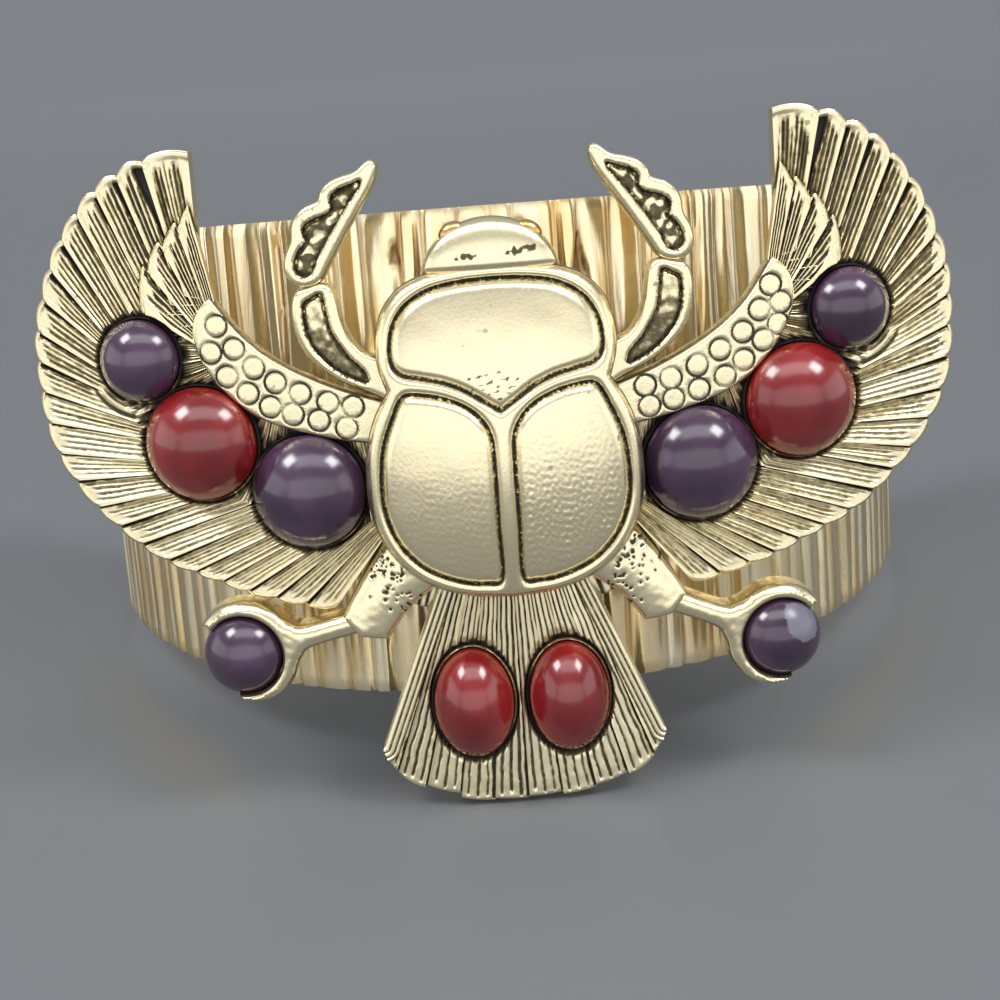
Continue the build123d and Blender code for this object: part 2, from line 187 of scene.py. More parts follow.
class Field:
    """A socket whose arithmetic adds Math nodes; least and most give the smaller and the larger of two."""

    __add__, __radd__ = arithmetic("ADD"), arithmetic("ADD", True)
    __sub__, __rsub__ = arithmetic("SUBTRACT"), arithmetic("SUBTRACT", True)
    __mul__, __rmul__ = arithmetic("MULTIPLY"), arithmetic("MULTIPLY", True)
    __truediv__, __pow__ = arithmetic("DIVIDE"), arithmetic("POWER")
    floor, magnitude = arithmetic("FLOOR"), arithmetic("ABSOLUTE")
    least, most = arithmetic("MINIMUM"), arithmetic("MAXIMUM")

    def __init__(self, graph: Graph, socket: bpy.types.NodeSocket) -> None:
        """Keep the graph and the output socket."""
        self.graph = graph
        self.socket = socket

    def step(self, low: object, high: object) -> "Field":
        """Rise smoothly from 0 at low to 1 at high."""
        inputs = {"Value": self, "From Min": low, "From Max": high}
        return self.graph.field("ShaderNodeMapRange", inputs, interpolation_type="SMOOTHSTEP")


# Flat drawing


def ease(value: np.ndarray, low: float, high: float) -> np.ndarray:
    """Rise smoothly from 0 at low to 1 at high."""
    share = np.clip((value - low) / (high - low), 0, 1)
    return share * share * (3 - 2 * share)


def arc(share: np.ndarray, low: float = 0.0) -> np.ndarray:
    """Height of a circle of radius 1 at a share of its radius; its square is never less than low."""
    return np.sqrt(np.clip(1 - share ** 2, low, 1))


def rounded(gap: np.ndarray, radius: float) -> np.ndarray:
    """Drop of a rounded edge, from the radius at its foot to nothing at that distance."""
    return radius * (1 - arc(1 - np.clip(gap / radius, 0, 1)))


def circle(count: int) -> np.ndarray:
    """Evenly spaced points of a circle of radius 1."""
    angles = np.linspace(0, 2 * math.pi, count, endpoint=False)
    return np.column_stack([np.cos(angles), np.sin(angles)])


def ripples(places: np.ndarray, size: float, seed: int, stretch: Point = (1, 1)) -> np.ndarray:
    """Smooth random waves between about -1 and 1.

    Args:
        places: Points, one a row.
        size: Length of a wave, in millimetres.
        seed: Number that fixes the pattern.
        stretch: How much longer the waves are along X and Z.

    Returns:
        One value a point.
    """
    draw = np.random.default_rng(seed)
    total = np.zeros(len(places))
    waves, shortest, longest, peak = 16, 0.6, 1.6, 1.5
    for _ in range(waves):
        angle = draw.uniform(0, 2 * math.pi)
        turn = 2 * math.pi / (size * draw.uniform(shortest, longest))
        across = turn * math.cos(angle) / stretch[0]
        up = turn * math.sin(angle) / stretch[1]
        total += np.sin(places[:, 0] * across + places[:, 1] * up + draw.uniform(0, 2 * math.pi))
    return total / math.sqrt(waves / 2) / peak


def even(line: np.ndarray, count: int) -> np.ndarray:
    """Divide a line into equal steps along its length."""
    steps = np.hypot(*np.diff(line, axis=0).T)
    length = np.concatenate([[0], np.cumsum(steps)])
    stops = np.linspace(0, length[-1], count + 1)
    return np.column_stack([np.interp(stops, length, line[:, axis]) for axis in range(2)])


def smooth(points: Outline, closed: bool = False, samples: int = 16) -> np.ndarray:
    """Draw a smooth line through points.

    Args:
        points: Places that the line goes through.
        closed: Whether it comes back to its start.
        samples: Steps between two places.

    Returns:
        Points of the line; a closed one ends at its start.
    """
    given = np.array(points, float)
    if closed:
        padded = np.vstack([given[-1], given, given[0], given[1]])
    else:
        padded = np.vstack([2 * given[0] - given[1], given, 2 * given[-1] - given[-2]])
    share = np.linspace(0, 1, samples, endpoint=False)[:, None]
    parts = []
    for before, start, end, after in zip(padded, padded[1:], padded[2:], padded[3:]):
        parts.append(0.5 * (2 * start + (end - before) * share
                            + (2 * before - 5 * start + 4 * end - after) * share ** 2
                            + (3 * start - before - 3 * end + after) * share ** 3))
    return np.vstack(parts + [padded[-2]])


def spaced(line: np.ndarray, spacing: float) -> np.ndarray:
    """Divide a line into steps of about a given length."""
    length = np.hypot(*np.diff(line, axis=0).T).sum()
    return even(line, max(2, round(length / spacing)))


def loop(*lines: np.ndarray, spacing: float) -> np.ndarray:
    """Join lines end to end into one closed outline, its start not repeated."""
    return np.vstack([spaced(line, spacing)[:-1] for line in lines])


def straight(*points: Point) -> np.ndarray:
    """Line with corners."""
    return np.array(points, float)


def directions(start: np.ndarray, end: np.ndarray) -> Pair:
    """Directions of length 1 from a start to an end, and to the left of that."""
    run = (end - start) / np.hypot(*(end - start))
    return run, np.array((-run[1], run[0]))


def gaps_to(points: np.ndarray, centres: np.ndarray) -> np.ndarray:
    """Distance of each point, one a row, from each centre."""
    return np.sqrt(((points[:, None] - centres[None]) ** 2).sum(2))


def area(outline: np.ndarray) -> float:
    """Signed area, positive when the outline runs anticlockwise."""
    x, z = outline[:, 0], outline[:, 1]
    return float(np.sum(x * np.roll(z, -1) - np.roll(x, -1) * z) / 2)


def distance(places: np.ndarray, outline: np.ndarray, closed: bool = True) -> np.ndarray:
    """Distance of each place from an outline or an open line."""
    start = outline if closed else outline[:-1]
    end = np.roll(outline, -1, axis=0) if closed else outline[1:]
    run = end - start
    size = np.maximum((run ** 2).sum(1), TINY ** 2)
    found = []
    for part in np.array_split(places, max(1, len(places) // PLACES_AT_ONCE)):
        offset = part[:, None, :] - start[None]
        share = np.clip((offset * run[None]).sum(2) / size, 0, 1)
        gap = offset - share[..., None] * run[None]
        found.append(np.sqrt((gap ** 2).sum(2).min(1)))
    return np.concatenate(found)


def inside(places: np.ndarray, outline: np.ndarray) -> np.ndarray:
    """Whether each place lies within an outline."""
    x, z = places[:, 0], places[:, 1]
    result = np.zeros(len(places), bool)
    for (ax, az), (bx, bz) in zip(outline, np.roll(outline, -1, axis=0)):
        if az == bz:
            continue
        crosses = (az > z) != (bz > z)
        result ^= crosses & (x < (bx - ax) * (z - az) / (bz - az) + ax)
    return result


def depth_in(places: np.ndarray, outline: np.ndarray) -> np.ndarray:
    """Distance from an outline, positive inside it and negative outside."""
    return np.where(inside(places, outline), 1, -1) * distance(places, outline)


def lattice(outline: np.ndarray, spacing: float, clear: float = 0.6) -> np.ndarray:
    """Evenly spread places inside an outline, clear of its edge by a share of their spacing."""
    low, high = outline.min(0), outline.max(0)
    rows = []
    for number, z in enumerate(np.arange(low[1], high[1], spacing * math.sqrt(3) / 2)):
        x = np.arange(low[0] + (number % 2) * spacing / 2, high[0], spacing)
        rows.append(np.column_stack([x, np.full(len(x), z)]))
    places = np.vstack(rows)
    return places[depth_in(places, outline) > clear * spacing]


def triangles(outline: np.ndarray, inner: np.ndarray) -> tuple[np.ndarray, list]:
    """Fill an outline with triangles through the inner places."""
    points = [Vector(point) for point in np.vstack([outline, inner])]
    border = list(range(len(outline)))
    made = delaunay_2d_cdt(points, [], [border], 1, 0.1 * TINY)
    return np.array([tuple(point) for point in made[0]]), [tuple(face) for face in made[2]]


def border_of(faces: Sequence[tuple]) -> list[int]:
    """Corners of a surface's single open edge, in the order of its faces."""
    edges = {edge: True for face in faces for edge in zip(face, face[1:] + face[:1])}
    following = {start: end for start, end in edges if (end, start) not in edges}
    line = [next(iter(following))]
    while following[line[-1]] != line[0]:
        line.append(following[line[-1]])
    return line


def shrunk(outline: np.ndarray, inset: float, clear: float = 0.9) -> np.ndarray:
    """Outline moved inwards, without the points nearer to it than a share of that distance."""
    outline = outline if area(outline) > 0 else outline[::-1]
    ahead = np.roll(outline, -1, axis=0) - np.roll(outline, 1, axis=0)
    length = np.maximum(np.hypot(ahead[:, 0], ahead[:, 1]), TINY)[:, None]
    moved = outline + np.column_stack([-ahead[:, 1], ahead[:, 0]]) / length * inset
    return moved[distance(moved, outline) > clear * inset]


def ring_faces(rings: int, steps: int, closed: bool = False, flipped: bool = False) -> list[tuple]:
    """Faces between rings of points that follow one another.

    Args:
        rings: How many rings there are.
        steps: How many points each has.
        closed: Whether the last is joined to the first.
        flipped: Whether the faces look the other way.

    Returns:
        Corners of each face.
    """
    pairs = [(ring * steps, (ring + 1) % rings * steps) for ring in range(rings if closed else rings - 1)]
    faces = [(here + step, here + (step + 1) % steps, there + (step + 1) % steps, there + step)
             for here, there in pairs for step in range(steps)]
    return [(face[0], *face[:0:-1]) for face in faces] if flipped else faces


@dataclass
class Relief:
    """Front of a part of the casting, drawn flat, with its height and patina at each point; the patina also
    carries painted shade.
    """

    points: np.ndarray
    faces: list
    height: np.ndarray
    patina: np.ndarray

    @classmethod
    def filled(cls, outline: np.ndarray, spacing: float, shape: Shape, rings: Sequence[float] = (),
               lines: Sequence[np.ndarray] = ()) -> "Relief":
        """Fill an outline and shape it.

        Args:
            outline: Closed outline.
            spacing: Distance between points.
            shape: Gives height and patina from points.
            rings: Distances inside the edge at which points follow it.
            lines: Lines that points follow too.

        Returns:
            The relief.
        """
        if area(outline) < 0:
            outline = outline[::-1]
        clear_of_lines, clear_of_edge = 0.5 * spacing, 0.01
        extra = [shrunk(outline, inset) for inset in rings] + [spaced(line, spacing) for line in lines]
        places = lattice(outline, spacing)
        for follow in extra:
            places = places[distance(places, follow) > clear_of_lines]
        follows = [follow[depth_in(follow, outline) > clear_of_edge] for follow in extra]
        points, faces = triangles(outline, np.vstack(follows + [places]))
        height, patina = shape(points)
        return cls(points, faces, height, patina)

    def closed(self, depth: float) -> tuple[np.ndarray, list, np.ndarray]:
        """Give the relief side walls and a plain back.

        Args:
            depth: How far the back lies behind height 0.

        Returns:
            Points as X, height and Z; faces; patina of each point.
        """
        back_spacing, back_patina, same_place = 1.6, 0.25, 100 * TINY
        rim = border_of(self.faces)
        edge = self.points[rim]
        back_points, back_faces = triangles(edge, lattice(edge, back_spacing))
        count = len(self.points)
        gap = gaps_to(back_points, edge)
        nearest = gap.argmin(1)
        place_of = {int(nearest[index]): count + index for index in np.flatnonzero(gap.min(1) < same_place)}
        faces = list(self.faces)
        for number, start in enumerate(rim):
            following = (number + 1) % len(rim)
            if number in place_of and following in place_of:
                faces.append((start, place_of[number], place_of[following], rim[following]))
        faces += [tuple(count + corner for corner in reversed(face)) for face in back_faces]
        front = np.insert(self.points, 1, self.height, axis=1)
        back = np.insert(back_points, 1, -depth, axis=1)
        patina = np.concatenate([self.patina, np.full(len(back_points), back_patina)])
        return np.vstack([front, back]), faces, patina


# Placing


@dataclass(frozen=True)
class Stance:
    """How the upright bracelet leans and moves to where the CAD stands."""

    lean: float = math.radians(8.18685)
    shift: Place = (0.0004, -21.4025, 6.2732)

    def place(self, upright: np.ndarray) -> np.ndarray:
        """Turn upright millimetres into the frame's metres."""
        x, y, z = upright.T
        turned_y = y * math.cos(self.lean) + z * math.sin(self.lean)
        turned_z = -y * math.sin(self.lean) + z * math.cos(self.lean)
        return (np.column_stack([x, turned_y, turned_z]) + np.array(self.shift)) * MM


@dataclass(frozen=True)
class PlaqueForm:
    """The plaque's gentle bend."""

    radius: float = 113.0
    face_y: float = -2.6
    thickness: float = 1.4

    def bent(self, flat: np.ndarray) -> np.ndarray:
        """Turn X, height and Z into upright millimetres."""
        x, height, z = flat.T
        y = self.face_y + self.radius - np.sqrt((self.radius + height) ** 2 - x ** 2)
        return np.column_stack([x, y, z])

    def from_seat(self, local: np.ndarray, x: float, z: float) -> np.ndarray:
        """Turn points of a seat, its third axis straight out of the face, into upright millimetres."""
        turn = math.asin(x / self.radius)
        origin = np.array([x, self.face_y + self.radius * (1 - math.cos(turn)), z])
        along = np.array([math.cos(turn), math.sin(turn), 0])
        out = np.array([math.sin(turn), -math.cos(turn), 0])
        up = np.cross(out, along)
        return origin + local[:, :1] * along + local[:, 1:2] * up + local[:, 2:] * out


STANCE = Stance()
FORM = PlaqueForm()


def mesh_object(name: str, metres: np.ndarray, faces: Sequence[tuple], patina: Optional[np.ndarray] = None,
                sharp: float = 60.0) -> bpy.types.Object:
    """Make an object at the origin from points and faces.

    Args:
        name: The object's name.
        metres: Points in the frame's metres.
        faces: Corners of each face.
        patina: Share of dark patina, with painted shade, at each point.
        sharp: Angle in degrees past which an edge stays sharp.

    Returns:
        The object, linked to the scene.
    """
    mesh = bpy.data.meshes.new(name)
    mesh.from_pydata(metres.tolist(), [], [tuple(map(int, face)) for face in faces])
    mesh.update()
    mesh.polygons.foreach_set("use_smooth", [True] * len(mesh.polygons))
    mesh.set_sharp_from_angle(angle=math.radians(sharp))
    if patina is not None:
        layer = mesh.attributes.new(PATINA_AND_SHADE, "FLOAT", "POINT")
        layer.data.foreach_set("value", np.clip(patina, 0, 1).astype(np.float32))
    made = bpy.data.objects.new(name, mesh)
    bpy.context.scene.collection.objects.link(made)
    return made


def finish_piece(piece: bpy.types.Object, material: Material, slot: Slot, *nodes: str) -> None:
    """Dress a piece, hide the CAD parts that it stands for and attach it to the root."""
    piece.data.materials.clear()
    piece.data.materials.append(material)
    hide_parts(*nodes)
    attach(piece, "root")
    LOG.info("%s: %d faces", piece.name, len(piece.data.polygons))


# Finishes


@dataclass(frozen=True, kw_only=True)
class Finish:
    """What all finishes share: a principled surface with fine bumps."""

    name: str
    bump_strength: float
    bump_depth: float

    def surface(self, graph: Graph, place: Field) -> tuple[dict, Field]:
        """Give the shader's inputs, and the height of the bumps, at a place."""
        raise NotImplementedError

    def material(self) -> Material:
        """Build the material."""
        made = bpy.data.materials.new(self.name)
        made.use_nodes = True
        made.node_tree.nodes.clear()
        graph = Graph(made.node_tree)
        inputs, height = self.surface(graph, graph.field("ShaderNodeTexCoord", output="Object"))
        bumps = {"Strength": self.bump_strength, "Distance": self.bump_depth, "Height": height}
        inputs["Normal"] = graph.field("ShaderNodeBump", bumps, "Normal")
        shader = graph.node("ShaderNodeBsdfPrincipled", inputs)
        graph.node("ShaderNodeOutputMaterial", {"Surface": shader.outputs[0]})
        return made


@dataclass(frozen=True, kw_only=True)
class CastGold(Finish):
    """Antiqued pale gold: polished high spots, brown in shallow lines and black in the deep grooves, and the
    same brown and black for painted shade.
    """

    name: str = "cast_gold"
    bright: Colour = (0.89, 0.785, 0.515, 1)
    warm: Colour = (0.80, 0.64, 0.34, 1)
    brown: Colour = (0.125, 0.100, 0.048, 1)
    black: Colour = (0.016, 0.015, 0.014, 1)
    roughness: float = 0.25
    patina_roughness: float = 0.55
    bump_strength: float = 0.12
    bump_depth: float = 0.00006

    def surface(self, graph: Graph, place: Field) -> tuple[dict, Field]:
        """Gold under a warm film and patina, with brown specks in cloudy places."""
        dark = graph.field("ShaderNodeAttribute", output="Fac", attribute_name=PATINA_AND_SHADE)
        ragged, cloud = graph.noise(place, 2600, 3, 0.6), graph.noise(place, 180, 2)
        grain, speck = graph.noise(place, 5200, 2, 0.6), graph.noise(place, 1500, 1)
        level = dark + (ragged - 0.5) * 0.6 * dark.step(0.0, 0.3)
        specks = speck.step(0.735, 0.77) * cloud.step(0.45, 0.6)
        shallow = level.step(0.22, 0.62).most(specks * 0.6)
        deep = level.step(0.62, 0.98)
        film = (dark * 0.6 + cloud * 0.3).step(0.2, 0.9)
        gold = graph.mix(film, self.bright, self.warm)
        added = self.patina_roughness - self.roughness
        inputs = {"Base Color": graph.mix(deep, graph.mix(shallow, gold, self.brown), self.black),
                  "Metallic": 1 - shallow * 0.45 - deep * 0.35,
                  "Roughness": self.roughness + (grain - 0.5) * 0.12 + film * 0.1 + shallow * added}
        return inputs, grain * 0.6 + ragged * 0.4


@dataclass(frozen=True, kw_only=True)
class BandGold(Finish):
    """Bright gold plate of the ribbed band, with painted warm reflections in streaks along the ribs."""

    name: str = "band_gold"
    bright: Colour = (0.95, 0.84, 0.59, 1)
    warm: Colour = (0.90, 0.65, 0.29, 1)
    # Brown of the patina and painted shade in the grooves between ribs
    groove: Colour = (0.34, 0.22, 0.10, 1)
    roughness: float = 0.24
    streak_stretch: float = 0.06
    bump_strength: float = 0.2
    bump_depth: float = 0.00012

    def surface(self, graph: Graph, place: Field) -> tuple[dict, Field]:
        """Bright gold with painted warm reflections in upright streaks, and brown patina and painted shade in
        the grooves between ribs.
        """
        stretched = graph.field("ShaderNodeMapping", {"Vector": place, "Scale": (1, 1, self.streak_stretch)})
        dark = graph.field("ShaderNodeAttribute", output="Fac", attribute_name=PATINA_AND_SHADE)
        streak, fine = graph.noise(stretched, 700, 3, 0.6), graph.noise(stretched, 3200, 2, 0.6)
        # Painted reflection: warm streaks along the ribs
        warm_reflection = (streak * 0.7 + graph.noise(place, 90, 2) * 0.5).step(0.45, 0.85)
        gold = graph.mix(warm_reflection, self.bright, self.warm)
        # Patina and painted shade: brown in the grooves between ribs
        inputs = {"Base Color": graph.mix((dark + (fine - 0.5) * 0.3).step(0.3, 1.0), gold, self.groove),
                  "Metallic": 1.0,
                  "Roughness": self.roughness + (fine - 0.5) * 0.14 + dark * 0.15}
        return inputs, fine * 0.5 + streak


@dataclass(frozen=True, kw_only=True)
class StoneGloss(Finish):
    """Polished opaque cabochon, dusty round the place of its patch when that has a reach."""

    deep: Colour
    light: Colour
    roughness: float = 0.17
    index: float = 1.62
    patch: Place = (0, 0, 0)
    patch_reach: float = 0.0
    patch_colour: Colour = (0.16, 0.15, 0.20, 1)
    patch_dirt: Colour = (0.01, 0.01, 0.012, 1)
    bump_strength: float = 0.05
    bump_depth: float = 0.00005

    def surface(self, graph: Graph, place: Field) -> tuple[dict, Field]:
        """Cloudy colour under a soft coat."""
        cloud, fine = graph.noise(place, 260, 3), graph.noise(place, 3000, 2)
        colour = graph.mix(cloud.step(0.3, 0.75), self.deep, self.light)
        rough = self.roughness + (cloud - 0.5) * 0.06 + fine.step(0.62, 0.75) * 0.08
        if self.patch_reach > 0:
            away = graph.vector("DISTANCE", place, self.patch, output="Value") / self.patch_reach
            ragged = graph.noise(place, 1400, 3, 0.6)
            dull = 1 - (away + (ragged - 0.5) * 0.7).step(0.85, 1.0)
            colour = graph.mix(dull * 0.85, colour, self.patch_colour)
            colour = graph.mix(dull * ragged.step(0.60, 0.66) * 0.9, colour, self.patch_dirt)
            rough = rough + dull * 0.18
        inputs = {"Base Color": colour, "Roughness": rough, "IOR": self.index,
                  "Coat Weight": 0.15 + cloud * 0.2, "Coat Roughness": 0.16}
        return inputs, fine


# Stones and seats


class StoneKind(Enum):
    """The three cuts of stone, as width and height."""

    LARGE = (7.0, 7.0)
    SMALL = (5.0, 5.0)
    OVAL = (5.0, 7.0)


def stacked(rows: Sequence[Place], steps: int) -> np.ndarray:
    """Points of oval rings about a seat's axis, given as half width, half height and level."""
    return np.vstack([np.insert(circle(steps) * row[:2], 2, row[2], axis=1) for row in rows])


@dataclass(frozen=True)
class Stone:
    """One cabochon, where its seat is, and the direction in degrees on which its rim has a painted highlight.
    """

    node: str
    x: float
    z: float
    kind: StoneKind
    slot: Slot
    glint: float = 90.0
    girdle: float = 0.9
    dome_share: float = 0.32
    dome_rows: int = 22
    bevel: float = 0.15
    base: float = -0.45
    rim_gap: float = 0.04
    rim_wall: float = 0.15
    steps: int = 72
    rim_steps: int = 96

    def placed(self, local: np.ndarray) -> np.ndarray:
        """Turn points given in the seat's millimetres into the frame's metres."""
        return STANCE.place(FORM.from_seat(local, self.x, self.z))

    def spot(self, across: float, up: float, level: float) -> Place:
        """Place in the frame of a point given in the seat's millimetres."""
        return tuple(self.placed(np.array([(across, up, level)]))[0].tolist())

    def profile(self) -> list[Point]:
        """Distance from the axis, measured upright, and height above the base, from base to top."""
        radius = self.kind.value[1] / 2
        rise = 2 * radius * self.dome_share
        ball = (radius ** 2 + rise ** 2) / (2 * rise)
        foot = radius - self.bevel
        rows = [(0.0, 0.0), (foot * 0.6, 0.0), (foot, 0.0), (radius, self.bevel), (radius, self.girdle * 0.6)]
        for angle in math.asin(radius / ball) * np.linspace(1, 0, self.dome_rows):
            rows.append((ball * math.sin(angle), self.girdle + rise - ball * (1 - math.cos(angle))))
        return rows

    def build(self, material: Material) -> None:
        """Make the stone in its seat."""
        width, height = self.kind.value
        rows = [(away * width / height, away, self.base + level) for away, level in self.profile()]
        metres = self.placed(stacked(rows, self.steps))
        name = self.node.replace("stone", "cabochon")
        piece = mesh_object(name, metres, ring_faces(len(rows), self.steps), sharp=80)
        weld(piece, 1e-7)
        finish_piece(piece, material, self.slot, self.node)

    def bezel(self, material: Material) -> None:
        """Make the thin rim that holds the stone, with a painted highlight on one side and painted shade,
        black, on the other.
        """
        width, height = self.kind.value
        inner, outer = self.rim_gap, self.rim_gap + self.rim_wall
        section = ((inner, -0.5, 1.0), (inner, -0.08, 1.0), (inner + 0.03, 0.03, 0.2),
                   ((inner + outer) / 2, 0.06, 0.0), (outer - 0.02, 0.0, 0.1), (outer + 0.02, -0.16, 1.0),
                   (outer + 0.06, -0.6, 1.0), (inner, -0.6, 1.0))
        rows = [(width / 2 + gap, height / 2 + gap, level) for gap, level, _ in section]
        glint = math.radians(self.glint)
        # Painted highlight: the rim stays bright gold towards the glint and is painted black as shade
        # elsewhere
        wear_and_highlight = ease(circle(self.rim_steps) @ (math.cos(glint), math.sin(glint)), -0.25, 0.35)
        patina = np.concatenate([np.maximum(dark, 1 - wear_and_highlight) for _, _, dark in section])
        metres = self.placed(stacked(rows, self.rim_steps))
        faces = ring_faces(len(rows), self.rim_steps, closed=True, flipped=True)
        piece = mesh_object(self.node.replace("stone", "bezel"), metres, faces, patina, 75)
        finish_piece(piece, material, Slot.CAST, "scarab_plaque")


def weld(piece: bpy.types.Object, reach: float) -> None:
    """Join a mesh's points that lie together and drop faces that have no area left."""
    work = bmesh.new()
    work.from_mesh(piece.data)
    bmesh.ops.remove_doubles(work, verts=work.verts, dist=reach)
    work.to_mesh(piece.data)
    work.free()


def stone_set() -> dict[str, Stone]:
    """All ten stones by name, with their places on the plaque."""
    leg_places = {Side.RIGHT: (16.70, 2.80), Side.LEFT: (17.31, 4.19)}
    wing = (("large", 12.053, 14.416, StoneKind.LARGE, Slot.PURPLE),
            ("middle", 18.557, 17.730, StoneKind.LARGE, Slot.RED),
            ("small", 21.896, 23.073, StoneKind.SMALL, Slot.PURPLE))
    stones = []
    for side in Side:
        word, sign = side.word, side.value
        leg_x, leg_z = leg_places[side]
        for size, x, z, kind, slot in wing:
            stones.append(Stone(f"wing_stone_{size}_{word}", sign * x, z, kind, slot, glint=-90 + sign * 35))
        stones.append(Stone(f"leg_stone_{word}", sign * leg_x, leg_z, StoneKind.SMALL, Slot.PURPLE))
        stones.append(Stone(f"tail_stone_{word}", sign * 3.0, 0.270, StoneKind.OVAL, Slot.RED, glint=60))
    return {stone.node: stone for stone in stones}


STONES = stone_set()


def seat_gap(points: np.ndarray, side: Side) -> np.ndarray:
    """Distance of flat points of a half, drawn on the right, from the nearest stone's edge."""
    gaps = []
    for stone in STONES.values():
        if stone.x * side.value > 0:
            half = np.array(stone.kind.value) / 2
            reach = np.hypot(*((points - (abs(stone.x), stone.z)) / half).T)
            gaps.append((reach - 1) * half.min())
    return np.min(gaps, axis=0)


def sink_round_seats(relief: Relief, side: Side) -> None:
    """Sink a relief round the stones' rims, and blacken it there."""
    width, depth = 0.37, 0.42
    gap = seat_gap(relief.points, side)
    near = 1 - ease(gap, width - 0.16, width)
    relief.height = relief.height * (1 - near) - depth * near
    relief.patina = np.maximum(relief.patina, 1.1 - ease(gap, width - 0.12, width + 0.06))


# Geometry Nodes


class TreeBuilder:
    """A Geometry Nodes tree with named inputs, run on an empty object."""

    def __init__(self, name: str) -> None:
        """Start the tree with its geometry output."""
        self.tree = bpy.data.node_groups.new(name, "GeometryNodeTree")
        self.tree.interface.new_socket("Geometry", in_out="OUTPUT", socket_type="NodeSocketGeometry")
        self.graph = Graph(self.tree)
        self.given = {}

    def inputs(self, **values: object) -> dict[str, Field]:
        """Add the tree's named inputs.

        Args:
            values: Each input's value; an object, a material or a number.

        Returns:
            The inputs as fields.
        """
        kinds = {bpy.types.Object: "NodeSocketObject", Material: "NodeSocketMaterial",
                 float: "NodeSocketFloat"}
        for name, value in values.items():
            kind = next(word for form, word in kinds.items() if isinstance(value, form))
            socket = self.tree.interface.new_socket(name, in_out="INPUT", socket_type=kind)
            self.given[socket.identifier] = value
        source = self.graph.node("NodeGroupInput")
        return {name: Field(self.graph, source.outputs[name]) for name in values}

    def finish(self, mesh: Field, place: Field, patina: Field, material: Field) -> None:
        """End the tree.

        Args:
            mesh: The grid.
            place: Where each point goes.
            patina: What each point keeps as its patina, with painted shade.
            material: The finish.
        """
        graph = self.graph
        stored = {"Geometry": mesh, "Name": PATINA_AND_SHADE, "Value": patina}
        kept = graph.field("GeometryNodeStoreNamedAttribute", stored, data_type="FLOAT", domain="POINT")
        moved = graph.field("GeometryNodeSetPosition", {"Geometry": kept, "Position": place})
        real = graph.field("GeometryNodeRealizeInstances", {"Geometry": moved})
        dressed = graph.field("GeometryNodeSetMaterial", {"Geometry": real, "Material": material})
        graph.node("NodeGroupOutput", {"Geometry": dressed})

    def run(self) -> tuple[np.ndarray, list, np.ndarray]:
        """Evaluate the tree.

        Returns:
            Points, faces and patina of the plain mesh that it makes.
        """
        host = bpy.data.objects.new("host", bpy.data.meshes.new("host"))
        bpy.context.scene.collection.objects.link(host)
        modifier = host.modifiers.new("shape", "NODES")
        modifier.node_group = self.tree
        for identifier, value in self.given.items():
            modifier[identifier] = value
        graph = bpy.context.evaluated_depsgraph_get()
        mesh = bpy.data.meshes.new_from_object(host.evaluated_get(graph))
        points = np.zeros(len(mesh.vertices) * 3)
        mesh.vertices.foreach_get("co", points)
        patina = np.zeros(len(mesh.vertices))
        mesh.attributes[PATINA_AND_SHADE].data.foreach_get("value", patina)
        faces = [tuple(face.vertices) for face in mesh.polygons]
        bpy.data.objects.remove(host)
        bpy.data.meshes.remove(mesh)
        return points.reshape(-1, 3), faces, patina


def rail(name: str, points: np.ndarray, **layers: np.ndarray) -> bpy.types.Object:
    """Row of points for a tree to follow, with numbers kept on them."""
    mesh = bpy.data.meshes.new(name)
    mesh.from_pydata(points.tolist(), [], [])
    for layer, values in layers.items():
        mesh.attributes.new(layer, "FLOAT", "POINT").data.foreach_set("value", values.astype(np.float32))
    return bpy.data.objects.new(name, mesh)


@dataclass
class RailGrid:
    """The part that all grid trees share: a grid stretched between two rails."""

    builder: TreeBuilder
    first: Field
    second: Field
    columns: int
    rows: int

    def sample(self, source: Field, value: Field, index: Field, kind: str = "FLOAT_VECTOR") -> Field:
        """Read a value of a rail's point."""
        graph = self.builder.graph
        geometry = graph.field("GeometryNodeObjectInfo", {"Object": source}, "Geometry")
        inputs = {"Geometry": geometry, "Value": value, "Index": index}
        return graph.field("GeometryNodeSampleIndex", inputs, data_type=kind, domain="POINT")

    def layer(self, name: str, index: Field) -> Field:
        """Read a number kept on the first rail's point."""
        value = self.builder.graph.field("GeometryNodeInputNamedAttribute", {"Name": name}, data_type="FLOAT")
        return self.sample(self.first, value, index, "FLOAT")

    def build(self) -> tuple[Field, Field, Field, Field, Field, Field]:
        """Make the grid.

        Returns:
            The mesh, the share across, the share up, the column's number, and both rails' points there.
        """
        graph = self.builder.graph
        inputs = {"Size X": 1.0, "Size Y": 1.0, "Vertices X": self.columns, "Vertices Y": self.rows}
        mesh = graph.field("GeometryNodeMeshGrid", inputs, "Mesh")
        spot = graph.field("GeometryNodeInputPosition")
        x, y, _ = graph.apart(spot)
        across, up = x + 0.5, y + 0.5
        column = (across * (self.columns - 1) + 0.5).floor()
        start, end = [self.sample(source, spot, column) for source in (self.first, self.second)]
        return mesh, across, up, column, start, end


# Wings, coverts and tail


